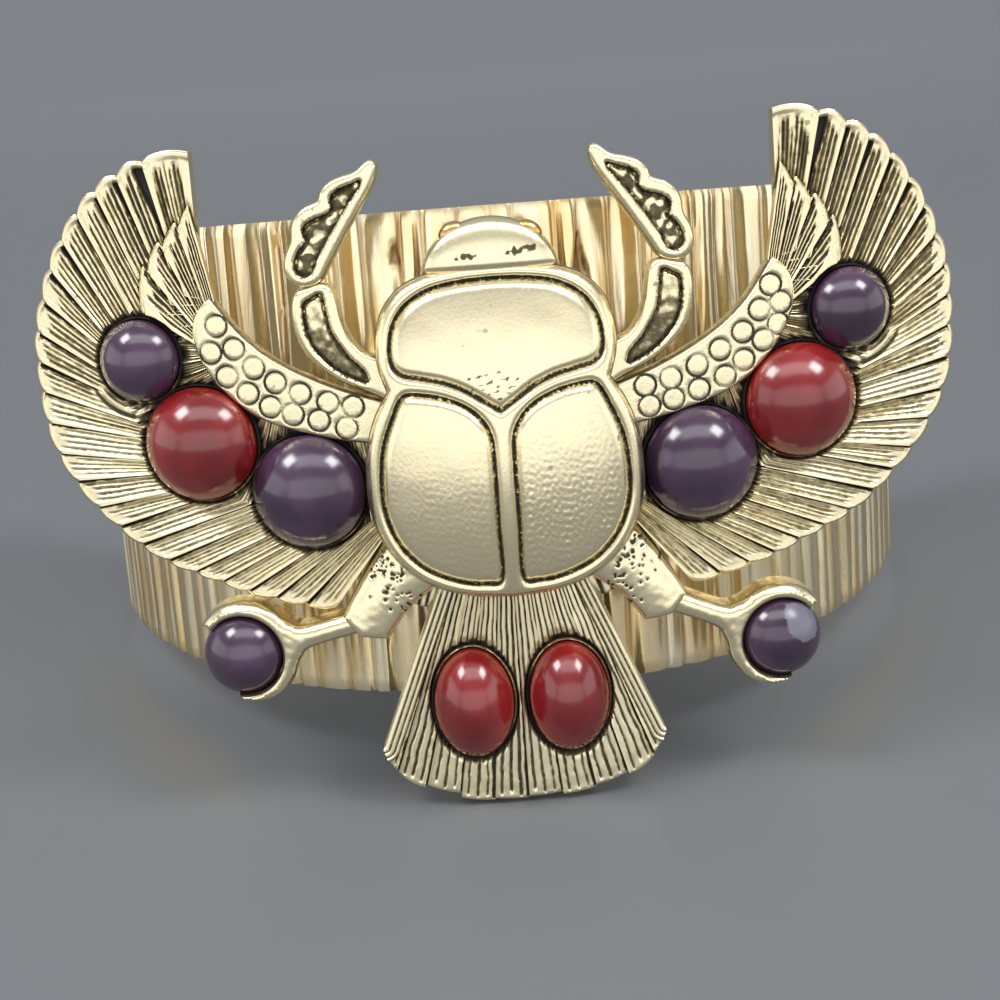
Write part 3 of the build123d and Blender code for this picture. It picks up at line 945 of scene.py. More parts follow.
@dataclass
class FeatherFan:
    """Row of feathers between a root line and a tip line, made by Geometry Nodes.

    A smooth bead runs round each feather's tip and down its far side. Behind it the feather starts in a sunk
    wedge at its near side, black with patina and painted shadow from the overlapping feather. A flat grey
    band of painted shade lies under the bead where the surface steps down, and thin barb lines score the
    rest. The later feathers are calmer. With feet, a plain strip comes before the roots, under what lies on
    it.
    """

    name: str
    roots: Outline
    tips: Outline
    feathers: int
    seed: int
    per_feather: int = 32
    rows: int = 50
    bulge: float = 0.31
    stagger: float = 0.0
    point: float = 0.0
    peak: float = 0.5
    level: float = 0.0
    slope: float = 0.22
    wedge: float = 0.30
    wedge_depth: float = 0.40
    wedge_taper: float = 4.5
    strip: float = 0.12
    tip_strip: float = 0.06
    second_wedge: float = 0.0
    barbs: int = 4
    first_barbs: int = 0
    barb_depth: float = 0.17
    line_width: float = 1.0
    slant: float = 0.25
    late: float = 0.9
    bead: float = 0.44
    bead_rise: float = 0.08
    # Strength of the grey painted shade under the bead
    film: float = 0.12
    wobble: float = 0.06
    calm: float = 1.0
    edge_drop: float = 0.15
    wedge_patina: float = 1.25
    barb_patina: float = 0.86
    feet: Optional[Outline] = None
    feet_share: float = 0.2

    def relief(self, material: Material) -> Relief:
        """Make the feathers as a flat relief."""
        columns = self.feathers * self.per_feather + 1
        lines = {"Feet": self.feet or self.roots, "Roots": self.roots, "Tips": self.tips}
        rails = {name: rail(f"{self.name}_{name.lower()}", even_in_order(line, columns))
                 for name, line in lines.items()}
        builder = TreeBuilder(self.name + "_feathers")
        given = builder.inputs(**rails, Feathers=float(self.feathers), Barbs=float(self.barbs),
                               Seed=float(self.seed), WedgeDepth=self.wedge_depth, BarbDepth=self.barb_depth,
                               Bead=self.bead, Bulge=self.bulge, Material=material)
        graph, seed, feathers = builder.graph, given["Seed"], given["Feathers"]
        grid = RailGrid(builder, given["Roots"], given["Tips"], columns, self.rows)
        mesh, across, level, column, root, tip = grid.build()

        # Which feather a point is in, its share across that feather, and how calm the feather is
        count = across * feathers
        feather = count.floor().least(feathers - 1)
        share = count - feather
        later = feather.least(1)
        quiet = (feather / feathers).step(0.12, 0.55) * self.calm
        luck = graph.chance(feather * 3.7 + seed)

        # The flat place, on the line from foot to root to tip
        foot = grid.sample(given["Feet"], graph.field("GeometryNodeInputPosition"), column)
        foot_share = self.feet_share if self.feet else 0.0
        under_root = (level / max(foot_share, TINY)).least(1)
        base = graph.vector("ADD", foot, graph.scaled(graph.vector("SUBTRACT", root, foot), under_root))
        up = 1 - (1 - ((level - foot_share) / (1 - foot_share)).most(0)) ** 1.5
        run = graph.vector("SUBTRACT", tip, root)
        length = graph.vector("LENGTH", run, output="Value")
        arch = 1 - (share * 2 - 1) ** 2
        spike = 1 - ((share - self.peak).magnitude() / max(self.peak, 1 - self.peak)).least(1)
        reach = arch * given["Bulge"] * (1 - quiet * 0.35) + spike * self.point + luck * self.stagger
        place = graph.vector("ADD", base, graph.scaled(run, up * (1 + reach / length)))

        # The distance from the tip, the bead round the tip and the rolled edge
        inset = (length + reach) * (1 - up)
        ragged = graph.noise(place, 2.6, 3, 0.6) - 0.5
        wave = (graph.noise(place, 0.55, 2) - 0.5) * self.wobble
        bent = (share + wave * inset.step(0.6, 2.0)).most(0).least(1)
        bead = given["Bead"] * (1 - quiet * 0.45)
        inner = (inset + ragged * 0.15).step(bead * 0.8, bead * 1.15)
        edge_roll = 1 - inset.step(0.0, 0.24)

        # The sunk wedge at the near side, widest in the second feather; its black is patina and painted
        # shadow from the overlapping feather
        second = 1 - (feather - 1).magnitude().least(1)
        narrowing = 1 - inset.step(bead, bead + self.wedge_taper) * 0.6
        breadth = (0.40 + luck * 0.5 + second * self.second_wedge) * (1 - quiet * 0.50)
        width = breadth * self.wedge * narrowing
        wedge = (1 - (bent + ragged * 0.08).step(width * 0.65, width)) * inner * later

        # The barb lines, between the wedge and the smooth strip at the far side
        strip_start = 1 - self.strip - (1 - inset.step(bead, bead + 2.6)) * self.tip_strip
        barbed = bent.step(width, width + 0.03) * (1 - bent.step(strip_start - 0.03, strip_start))
        barbs = given["Barbs"] + (1 - later) * self.first_barbs
        scaled = (bent - 0.08) / (0.92 - self.strip) * barbs
        number = scaled.floor()
        near = (scaled - number - 0.5).magnitude() + ragged * 0.22
        start = graph.chance(feather * 11.3 + number * 2.9 + seed)
        strength = graph.chance(feather * 5.1 + number * 7.7 + seed + 40)
        core, rim = (0.11 + strength * 0.07) * self.line_width, (0.29 + strength * 0.10) * self.line_width
        first = bead * 1.05 + start * start * self.late + share * self.slant
        drawn = (1 - near.step(core, rim)) * inset.step(first, first + 0.22) * barbed
        barb = drawn * (0.72 + 0.28 * strength) * (1 - quiet * 0.42)

        # The grey painted shade under the bead, where the surface steps down, then the whole height and
        # patina
        shade_end = bead * 1.4 + luck * 0.5
        under = inner * (1 - inset.step(shade_end, shade_end + 0.8)) * barbed
        ridge = bent.step(strip_start - 0.02, strip_start + 0.05) * inner
        height = (self.level + bent * self.slope * (0.35 + 0.65 * inner) + (1 - inner) * self.bead_rise
                  - edge_roll * edge_roll * self.edge_drop - wedge * given["WedgeDepth"]
                  - barb * given["BarbDepth"] - under * 0.04 + ridge * 0.05 + ragged * 0.05 * inner)
        # Painted shade: grey under the bead, standing in for the shade of the step behind it
        film = under * self.film * (0.5 + luck * 0.6) * (1 - quiet * 0.5)
        # Painted shadow: black in the wedge, where the overlapping feather would shade it
        black = wedge * self.wedge_patina * (1 - quiet * 0.20)
        patina = black.most(barb * self.barb_patina).most(film) - ragged * 0.25 * inner
        raised = graph.vector("ADD", place, graph.joined(Y=height))
        builder.finish(mesh, raised, patina * inner, given["Material"])

        points, faces, dark = builder.run()
        flat_points = points[:, [0, 2]]
        return Relief(flat_points, facing(flat_points, faces), points[:, 1], dark)


def even_in_order(line: Outline, count: int) -> np.ndarray:
    """Resample a flat row of stations evenly by their order, not their length, as X, 0 and Z."""
    stations = smooth(line, samples=24)
    place = np.linspace(0, len(stations) - 1, count)
    x, z = [np.interp(place, np.arange(len(stations)), axis) for axis in stations.T]
    return np.column_stack([x, np.zeros(count), z])


def facing(points: np.ndarray, faces: Sequence[tuple]) -> list[tuple]:
    """Turn each flat face so that it looks at the viewer."""
    corners = np.array(faces)
    x, z = np.moveaxis(points[corners], -1, 0)
    signed = (x * np.roll(z, -1, axis=1) - np.roll(x, -1, axis=1) * z).sum(1)
    return [tuple(face if sign > 0 else face[::-1]) for face, sign in zip(corners.tolist(), signed)]


def put_relief(name: str, relief: Relief, side: Side, material: Material,
               depth: float = FORM.thickness) -> None:
    """Close a relief, bend it onto the plaque and make it a piece of the casting.

    Args:
        name: The piece's name.
        relief: The part, drawn flat as it is on the right.
        side: Where it goes; on the left it is mirrored.
        material: Its finish.
        depth: How far its back lies behind height 0.
    """
    flat, faces, patina = relief.closed(depth)
    if side is Side.LEFT:
        flat = flat * np.array([-1, 1, 1])
        faces = [face[::-1] for face in faces]
    piece = mesh_object(name, STANCE.place(FORM.bent(flat)), faces, patina)
    finish_piece(piece, material, Slot.CAST, "scarab_plaque")


@dataclass
class Wing:
    """One wing: the long feathers, the short coverts and the smooth arm with its rings."""

    side: Side
    tips: Outline = (
        (17.5, 35.3), (20.4, 34.95), (22.1, 34.25), (23.6, 33.4), (24.9, 32.2), (26.1, 30.7), (27.1, 29),
        (27.8, 27.2), (28.4, 25.3), (28.6, 23.4), (28.6, 21.5), (28.5, 19.5), (28, 17.5), (27.1, 15.7),
        (25.9, 14), (24.6, 12.7), (23.3, 11.5), (21.7, 10.4), (20, 9.6), (18.3, 8.9), (16.7, 8.2), (15, 7.7),
        (13.1, 7.2), (11.2, 6.9))
    roots: Outline = (
        (17.55, 28), (18.6, 26.8), (19.5, 26.3), (20.6, 25.8), (21.6, 24.9), (22.6, 24.3), (23.5, 24.1),
        (23.9, 23.6), (23.9, 22.2), (23.3, 20.6), (22.5, 19.2), (21.7, 18.1), (21, 16.7), (20.1, 16),
        (19, 15.1), (17.7, 14.6), (15.7, 13.8), (14.1, 13.1), (12.6, 12.7), (11.1, 12.4), (9.7, 12.2),
        (8.5, 12.3), (7.5, 12.4), (6.5, 12.8))
    feet: Outline = (
        (17.4, 27), (17.7, 26.6), (17.7, 26.2), (17.9, 25.6), (18, 25), (18.05, 24.5), (18, 24),
        (17.95, 23.5), (17.8, 22.9), (17.6, 22.4), (17.3, 21.9), (16.9, 21.3), (16.4, 20.8), (15.9, 20.3),
        (15.3, 19.8), (14.7, 19.4), (14, 19.05), (13.2, 18.7), (12.3, 18.4), (11.3, 18.1), (10.3, 17.85),
        (9.3, 17.6), (8.3, 17.45), (7.2, 17.3))
    covert_tips: Outline = ((17.72, 31.65), (18.6, 30.75), (19.7, 29.7), (20.75, 28.4), (21.45, 26.1))
    covert_roots: Outline = ((16.8, 26.4), (17.3, 25.9), (17.7, 25.3), (18, 24.6), (18.1, 23.8))
    arm_upper: Outline = (
        (17.05, 26.6), (16.3, 25.5), (15.5, 24.4), (14.4, 23.3), (13.2, 22.4), (12, 21.7), (10.4, 20.9),
        (8.7, 20.2), (6, 19.3))
    arm_lower: Outline = (
        (6, 16.9), (8.2, 17.2), (9.9, 17.5), (11.6, 17.95), (13.1, 18.4), (14.3, 18.9), (15.3, 19.5),
        (16.4, 20.5), (17.3, 21.6), (17.9, 22.6), (18.25, 23.6), (18.35, 24.6), (18.1, 25.5), (17.65, 26.15),
        (17.05, 26.6))
    rings_right: Outline = (
        (16.85, 24.9), (17.45, 23.8), (16.1, 23.45), (17.25, 22.5), (15, 22.2), (16.25, 21.6), (13.55, 21.25),
        (15, 20.5), (12.1, 20.4), (13.8, 19.6), (10.45, 19.75), (12.15, 18.95), (10.55, 18.5), (8.85, 19.45),
        (9.05, 18.2))
    rings_left: Outline = (
        (16.8, 24.9), (17.3, 23.3), (15.85, 23.45), (16.45, 21.8), (14.75, 22.2), (15.25, 20.7),
        (13.5, 21.25), (13.95, 19.8), (12.05, 20.5), (12.6, 19.25), (10.4, 19.85), (11.05, 18.8), (8.9, 19.5),
        (9.4, 18.2))
    line_width: Point = (1.0, 1.28)
    ring_radius: float = 0.66
    ring_line: float = 0.18
    ring_depth: float = 0.08
    arm_height: float = 0.62

    def feathers(self, over: Sequence[np.ndarray], material: Material) -> None:
        """Make the long feathers.

        Args:
            over: Outlines of what lies on them.
            material: Their finish.
        """
        fan = FeatherFan(f"wing_feathers_{self.side.word}", self.roots, self.tips, 23,
                         seed=11 + self.side.value, first_barbs=4, second_wedge=0.55,
                         line_width=self.line_width[self.side is Side.RIGHT], feet=self.feet)
        relief = fan.relief(material)
        self.smooth_nook(relief)
        sink_round_seats(relief, self.side)
        drop_shadow_width, drop_shadow, foot_sink = 0.15, 0.8, 0.16
        for outline in over:
            # Painted shadow: a dark band on the feathers round the foot of the coverts and the arm that lie
            # on them
            foot = 1 - ease(distance(relief.points, outline), 0.02, drop_shadow_width)
            relief.patina = np.maximum(relief.patina, drop_shadow * foot)
            relief.height = relief.height - foot_sink * foot
        put_relief(fan.name, relief, self.side, material)

    def smooth_nook(self, relief: Relief) -> None:
        """Smooth the feathers just below the small stone, and raise a thin crescent along its rim there."""
        stone = STONES[f"wing_stone_small_{self.side.word}"]
        crescent_gap, seam_gap, crescent_height, nook_height, seam_patina = 0.70, 1.06, 0.34, 0.10, 0.8
        offset = relief.points - (abs(stone.x), stone.z)
        gap = np.hypot(*offset.T) - stone.kind.value[0] / 2
        below = ease(-offset[:, 1], 1.2, 2.0)
        nook = below * (1 - ease(gap, 1.0, 1.6))
        crescent = below * (1 - ease(np.abs(gap - crescent_gap), 0.12, 0.28))
        seam = below * (1 - ease(np.abs(gap - seam_gap), 0.06, 0.2))
        relief.patina = np.maximum(relief.patina * (1 - nook), seam_patina * seam)
        flattened = relief.height * (1 - nook) + nook_height * nook
        relief.height = flattened * (1 - crescent) + crescent_height * crescent

    def coverts(self, material: Material) -> np.ndarray:
        """Make the four pointed coverts that lie over the long feathers.

        Args:
            material: Their finish.

        Returns:
            Their outline.
        """
        fan = FeatherFan(f"coverts_{self.side.word}", self.covert_roots, self.covert_tips, 4,
                         seed=31 + self.side.value, per_feather=44, rows=48, bulge=0.10, point=0.50,
                         peak=0.07, level=0.26, wedge=0.20, wedge_depth=0.30, wedge_taper=12.0, strip=0.14,
                         tip_strip=0.22, barb_depth=0.2, barb_patina=0.92, slant=0.35, bead=0.34,
                         bead_rise=0.02, film=0.0, wobble=0.16, calm=0.0, edge_drop=0.16)
        relief = fan.relief(material)
        sink_round_seats(relief, self.side)
        put_relief(fan.name, relief, self.side, material, depth=0.6)
        return relief.points[border_of(relief.faces)]

    def arm(self, material: Material) -> np.ndarray:
        """Make the smooth crescent with its incised rings.

        Args:
            material: Its finish.

        Returns:
            Its outline.
        """
        upper, lower = smooth(self.arm_upper), smooth(self.arm_lower)
        outline = loop(upper, straight(upper[-1], lower[0]), lower, spacing=0.11)
        centres = np.array(self.rings_right if self.side is Side.RIGHT else self.rings_left)
        offsets = (-1.9, -1.1, -0.55, 0, 0.55, 1.1, 1.9)
        circles = [centre + (self.ring_radius + offset * self.ring_line / 2) * circle(48)
                   for centre in centres for offset in offsets]

        def shape(points: np.ndarray) -> Pair:
            """Height and patina of the arm."""
            edge = depth_in(points, outline)
            reach = gaps_to(points, centres).min(1)
            wear_and_highlight = np.clip(0.85 + 0.4 * ripples(points, 2.4, 5 + self.side.value), 0.45, 1)
            line = 1 - ease(np.abs(reach - self.ring_radius), self.ring_line * 0.25, self.ring_line * 0.6)
            height = self.arm_height - rounded(edge, 0.26) - self.ring_depth * line * wear_and_highlight
            height = height + 0.004 * ripples(points, 2.2, 8)
            return height, np.maximum(line * 0.95 * wear_and_highlight, 0.6 - edge / 0.16)

        relief = Relief.filled(outline, 0.16, shape, (0.05, 0.12, 0.22), circles)
        put_relief(f"wing_arm_{self.side.word}", relief, self.side, material)
        return outline


@dataclass
class Tail:
    """The tail fan below the body."""

    tips: Outline = (
        (8.94, -2.38), (8.45, -3.5), (7.5, -4.55), (6.1, -5.25), (4.6, -5.72), (3.1, -6), (1.55, -6.15),
        (0, -6.22))
    roots: Outline = (
        (3.6, 10.6), (3.1, 10.5), (2.6, 10.4), (2.1, 10.3), (1.6, 10.2), (1.1, 10.2), (0.55, 10.2), (0, 10.2))
    side_lines: Place = (0.36, 0.70, 1.0)
    side_ridge: float = 0.24
    stub_outline: Outline = (
        (3.5, 9.6), (6.2, 10), (6.9, 7.6), (6.3, 6.85), (5.5, 6.55), (4.9, 7.2), (4, 7.6))
    stub_ridges: tuple[int, int] = (6, 4)

    def build(self, material: Material) -> None:
        """Make the fan in one piece, smooth along both its edges, and the stubs beside it."""
        tips, roots = [(*line, *((-x, z) for x, z in line[-2::-1])) for line in (self.tips, self.roots)]
        fan = FeatherFan("tail_feathers", roots, tips, 10, seed=57, per_feather=40, rows=60, bulge=0.05,
                         stagger=0.30, slope=0.20, wedge=0.10, wedge_depth=0.28, wedge_taper=9.0, strip=0.06,
                         tip_strip=0.0, barbs=3, wedge_patina=0.80, barb_patina=0.80, line_width=0.62,
                         slant=0.05, late=0.35, bead=0.05, bead_rise=0.0, film=0.0, wobble=0.20, calm=0.0,
                         edge_drop=0.16)
        relief = fan.relief(material)
        drawn = relief.points
        relief.points = np.column_stack([np.abs(drawn[:, 0]), drawn[:, 1]])
        border = distance(relief.points, straight(roots[0], tips[0]), closed=False)
        ridge = 1 - ease(border, 0.92, 1.05)
        lines = 1 - ease(np.min([np.abs(border - place) for place in self.side_lines], axis=0), 0.03, 0.10)
        edge = self.side_ridge - rounded(border, 0.3) - 0.10 * lines
        relief.height = relief.height * (1 - ridge) + ridge * edge
        relief.patina = np.maximum(relief.patina * (1 - ridge), 0.6 * lines)
        sink_round_seats(relief, Side.RIGHT)
        relief.points = drawn
        put_relief(fan.name, relief, Side.RIGHT, material)
        for side in Side:
            self.stub(side, material)

    def stub(self, side: Side, material: Material) -> None:
        """Make the short ribbed feathers that show between the tail and a thigh."""
        outline = loop(straight(*self.stub_outline, self.stub_outline[0]), spacing=0.08)
        count = self.stub_ridges[side is Side.RIGHT]
        slant, top, start, width = 0.30, 9.0, 3.4, 2.9

        def shape(points: np.ndarray) -> Pair:
            """Height and patina of the ridges, which run down and outwards."""
            edge = depth_in(points, outline)
            across = (points[:, 0] - slant * (top - points[:, 1]) - start) / width * count
            line = 1 - ease(0.5 - np.abs(across % 1 - 0.5), 0.08, 0.26)
            return 0.16 - rounded(edge, 0.16) - 0.16 * line, 0.85 * line

        relief = Relief.filled(outline, 0.08, shape, (0.05, 0.10))
        put_relief(f"tail_stub_{side.word}", relief, side, material, depth=FORM.thickness - 0.1)


# Body, head and legs


@dataclass
class Body:
    """The scarab's back, with a polished rim and three panels, and its head with two low horns."""

    thorax: Outline = (
        (0, 27.5), (2, 27.42), (4, 27.1), (5.6, 26.4), (6.75, 25.1), (7.25, 23.4), (7.2, 21.8), (6.75, 20.3))
    elytra: Outline = (
        (6.75, 20.3), (7.6, 18.9), (8.2, 17.2), (8.45, 15.2), (8.4, 13.2), (7.85, 11.2), (6.7, 9.5),
        (4.9, 8.2), (2.6, 7.5), (0, 7.3))
    pronotum: Outline = (
        (0, 26.55), (2, 26.45), (3.8, 26.1), (5.2, 25.3), (6, 24.2), (6.3, 22.9), (6.2, 21.9), (5.7, 21.35),
        (4.6, 21.1), (3.3, 20.8), (2.1, 20.3), (1, 19.6), (0, 18.95))
    elytron: Outline = (
        (0.7, 8.75), (0.68, 12), (0.66, 15.6), (0.8, 17.6), (1.7, 18.9), (3.2, 19.7), (4.9, 20.05),
        (5.8, 19.9), (6.5, 18.6), (7.15, 16.9), (7.42, 14.9), (7.32, 12.9), (6.6, 11), (5.2, 9.5),
        (3.3, 8.65), (1.6, 8.4))
    head_middle: Point = (0, 26.5)
    head_size: Point = (4.25, 3.75)
    head_marks: Outline = ((-1.35, 27.95), (1.55, 28.05), (2.3, 28.25))
    mark_size: Point = (0.85, 0.24)
    horn_right: Point = (2.45, 29.2)
    horn_left: Point = (-2.15, 29.4)
    horn_size: Point = (0.85, 0.62)
    waist: float = 20.2
    middle: float = 15.2
    half_width: float = 8.45
    apex: float = 3.25
    rise_across: float = 1.6
    rise_above: float = 1.45
    rise_below: float = 1.9
    half_length: float = 10.1
    spacing: float = 0.105

    @staticmethod
    def halves(line: np.ndarray) -> np.ndarray:
        """Add the mirror image of a line that starts and ends at the middle."""
        return np.vstack([line[:-1], (line * FLIP)[::-1][:-1]])

    def build(self, material: Material) -> None:
        """Make the back."""
        right = np.vstack([smooth(self.thorax)[:-1], smooth(self.elytra)])
        outline = self.halves(spaced(right, self.spacing))
        pronotum = self.halves(spaced(smooth(self.pronotum), 0.1))
        elytron = spaced(smooth(self.elytron, closed=True), 0.1)[:-1]
        panels = [pronotum, elytron, (elytron * FLIP)[::-1]]

        def shape(points: np.ndarray) -> Pair:
            """Height and patina of the back."""
            edge = depth_in(points, outline)
            inner = np.max([depth_in(points, panel) for panel in panels], axis=0)
            x, z = points.T
            rise_along = np.where(z > self.middle, self.rise_above, self.rise_below)
            dome = (self.apex - self.rise_across * (x / self.half_width) ** 2
                    - rise_along * ((z - self.middle) / self.half_length) ** 2)
            bar = 0.12 - rounded(-inner - 0.18, 0.40) * 0.7
            pillow = 0.06 - 0.30 * np.exp(-(np.clip(inner, 0, 9) / 0.24) ** 1.5)
            groove = ease(inner, -0.20, -0.12)
            height = dome + np.where(inner > 0, pillow, bar * (1 - groove) - 0.30 * groove)
            height = height - rounded(edge, 0.60) * 1.15
            lower = ease(-z, -17.0, -11.0)
            on_wing = (z < self.waist) & (inner > 0)
            hammered = (0.0025 + 0.0065 * lower) * on_wing * ease(inner, 0, 0.6) * (1 + 0.35 * np.sign(x))
            height = height + hammered * ripples(points, 0.36, 3, (1.2, 0.9))
            height = height + 0.006 * ease(inner, 0, 0.8) * ripples(points, 2.4, 4)
            ragged = 0.05 * ripples(points, 0.34, 6) + 0.03 * ripples(points, 0.9, 7)
            line = ease(inner, -0.21, -0.15) * (1 - ease(inner + ragged, -0.01, 0.07))
            foot = 1 - ease(edge, 0.02, 0.12)
            near_waist = ease(-np.hypot(x * 0.5, z - self.waist), -2.2, -0.4) * (z > 19) * (inner > 0)
            pits = ripples(points, 0.40, 9) * near_waist
            return height, np.maximum.reduce([line, foot * 0.8, 0.55 * ease(pits, 0.5, 0.8)])

        relief = Relief.filled(outline, self.spacing, shape, (0.05, 0.13, 0.26), panels)
        put_relief("scarab_back", relief, Side.RIGHT, material, depth=1.0)

    def head(self, material: Material) -> None:
        """Make the polished head, which comes out from under the thorax."""
        outline = circle(180) * self.head_size + self.head_middle
        crown_z, crown_width, crown_height = 27.0, 4.15, 3.15

        def shape(points: np.ndarray) -> Pair:
            """Height and patina of the head."""
            x, z = points.T
            edge = depth_in(points, outline)
            reach = np.hypot(x / crown_width, np.clip((z - crown_z) / crown_height, 0, None))
            height = 0.42 + 1.05 * arc(reach) - rounded(edge, 0.36) - 1.3 * ease(27.5 - z, 0, 1.5)
            spots = gaps_to(points / self.mark_size, np.array(self.head_marks) / self.mark_size)
            darkening = np.exp(-spots ** 2).max(1) + 0.25 * ripples(points, 0.5, 17)
            return height, np.maximum(0.75 * ease(darkening, 0.45, 0.8), 0.3 - edge / 0.10)

        relief = Relief.filled(outline, 0.14, shape, (0.06, 0.14, 0.24))
        put_relief("scarab_head", relief, Side.RIGHT, material)

    def horn(self, side: Side, material: Material) -> None:
        """Make one of the two low horns that show behind the head's edge.

        Args:
            side: Which horn.
            material: Its finish.
        """
        middle = np.array(self.horn_right if side is Side.RIGHT else self.horn_left)
        along, aside = np.array((0.86, -side.value * 0.51)), np.array((side.value * 0.51, 0.86))
        long, short = self.horn_size
        outline = middle + long * circle(60)[:, :1] * along + short * circle(60)[:, 1:] * aside

        def knob(points: np.ndarray) -> Pair:
            """Height and patina of the horn."""
            away = points - middle
            reach = np.hypot(away @ along / long, away @ aside / short)
            return 0.25 + 0.55 * arc(reach), np.zeros(len(points))

        relief = Relief.filled(outline, 0.10, knob, (0.04, 0.1, 0.18))
        put_relief(f"horn_{side.word}", relief, Side.RIGHT, material)


@dataclass
class Foreleg:
    """One foreleg and the claw above it, each a rim round a sunk panel."""

    side: Side
    claw: Outline = (
        (6.25, 33.6), (6.55, 34), (7, 33.85), (7.6, 33.4), (8.4, 33.2), (9.2, 32.9), (9.75, 32.4),
        (10, 31.85), (10.8, 31.55), (11.4, 31.05), (11.7, 30.4), (11.8, 29.6), (12.2, 28.8), (12.35, 28),
        (12.1, 27.25), (11.5, 26.85), (10.8, 26.85), (10.15, 27.15), (9.6, 28), (8.9, 29.1), (8.1, 30.3),
        (7.2, 31.6), (6.5, 32.7))
    claw_panel: Outline = (
        (7.25, 32.75), (8, 32.6), (8.7, 32.35), (9.15, 31.95), (9.15, 31.35), (9.5, 31), (10.2, 30.8),
        (10.8, 30.5), (11, 30), (10.85, 29.5), (11.3, 29.05), (11.65, 28.4), (11.6, 27.75), (11.15, 27.45),
        (10.7, 27.65), (10.3, 28.45), (9.7, 29.4), (9, 30.4), (8.2, 31.5))
    leg: Outline = (
        (10.1, 27), (10.9, 26.85), (11.75, 26.6), (12.1, 25.9), (12.15, 24.8), (11.85, 23.5), (11.2, 22.4),
        (10.2, 21.5), (9.2, 20.85), (7.8, 20.2), (6.2, 19.6), (6, 21.9), (7.4, 22.45), (8.1, 22.8),
        (8.7, 23.6), (9.1, 24.6), (9.3, 25.7), (9.55, 26.6))
    leg_panel: Outline = (
        (10.25, 26.35), (10.8, 26.2), (11.35, 25.85), (11.45, 25.1), (11.35, 24.2), (11, 23.2), (10.4, 22.4),
        (9.7, 21.75), (8.8, 21.2), (7.9, 20.9), (8.1, 21.6), (8.75, 22.3), (9.4, 23.2), (9.85, 24.1),
        (10.05, 25.2))
    rim_height: float = 0.46

    def plate(self, name: str, outer: Outline, panel: Outline, patina_and_shade: Callable, material: Material,
              *, sink: float, fill: float, darkening: float, rough: float, mottle: float, seed: int) -> None:
        """Make a rounded rim round a sunk panel.

        Args:
            name: The piece's name, without its side.
            outer: The rim's outer outline.
            panel: The panel's outline.
            patina_and_shade: Gives from points how much darker a place is than the rest; on the foreleg it is
                painted shade that grows towards the bottom.
            material: Its finish.
            sink: Depth of the groove round the panel below the rim.
            fill: How far the panel's middle rises from the groove.
            darkening: Share of darkening in the panel's hollows: patina and, on the foreleg, painted shade.
            rough: Height of the panel's unevenness.
            mottle: How much the patina varies from place to place.
            seed: Number that fixes its roughness.
        """
        outline = spaced(smooth(outer, closed=True), 0.1)[:-1]
        inner = spaced(smooth(panel, closed=True), 0.09)[:-1]
        offset = seed + self.side.value

        def shape(points: np.ndarray) -> Pair:
            """Height and patina of the plate."""
            edge = depth_in(points, outline)
            deep = depth_in(points, inner)
            rim = self.rim_height - rounded(edge, 0.36) - rounded(-deep, 0.24) * 0.8
            uneven = rough * ripples(points, 1.0, offset)
            floor = self.rim_height - sink + fill * ease(deep, 0.05, 0.26) + uneven
            height = np.where(deep > 0, floor, rim)
            ragged = 0.03 * ripples(points, 0.4, offset + 2)
            line = ease(deep, -0.04, 0.0) * (1 - ease(deep + ragged, 0.03, 0.10))
            low = (deep > 0) * darkening * ease(patina_and_shade(points) - mottle * ripples(points, 0.8, offset), 0.0, 0.9)
            return height, np.maximum.reduce([line, low, 0.45 - edge / 0.12])

        relief = Relief.filled(outline, 0.12, shape, (0.05, 0.13, 0.24), [inner, shrunk(inner, 0.07)])
        put_relief(f"{name}_{self.side.word}", relief, self.side, material)

    def build(self, material: Material) -> None:
        """Make the claw and the leg."""
        self.plate("claw", self.claw, self.claw_panel, lambda points: 0.75, material,
                   sink=0.50, fill=0.14, darkening=0.60, rough=0.035, mottle=1.0, seed=21)
        # Painted shade: the foreleg's panel grows darker towards its lower end
        self.plate("foreleg", self.leg, self.leg_panel,
                   lambda points: 0.42 + 0.5 * ease(-points[:, 1], -26.0, -22.0), material,
                   sink=0.42, fill=0.24, darkening=0.56, rough=0.003, mottle=0.15, seed=41)


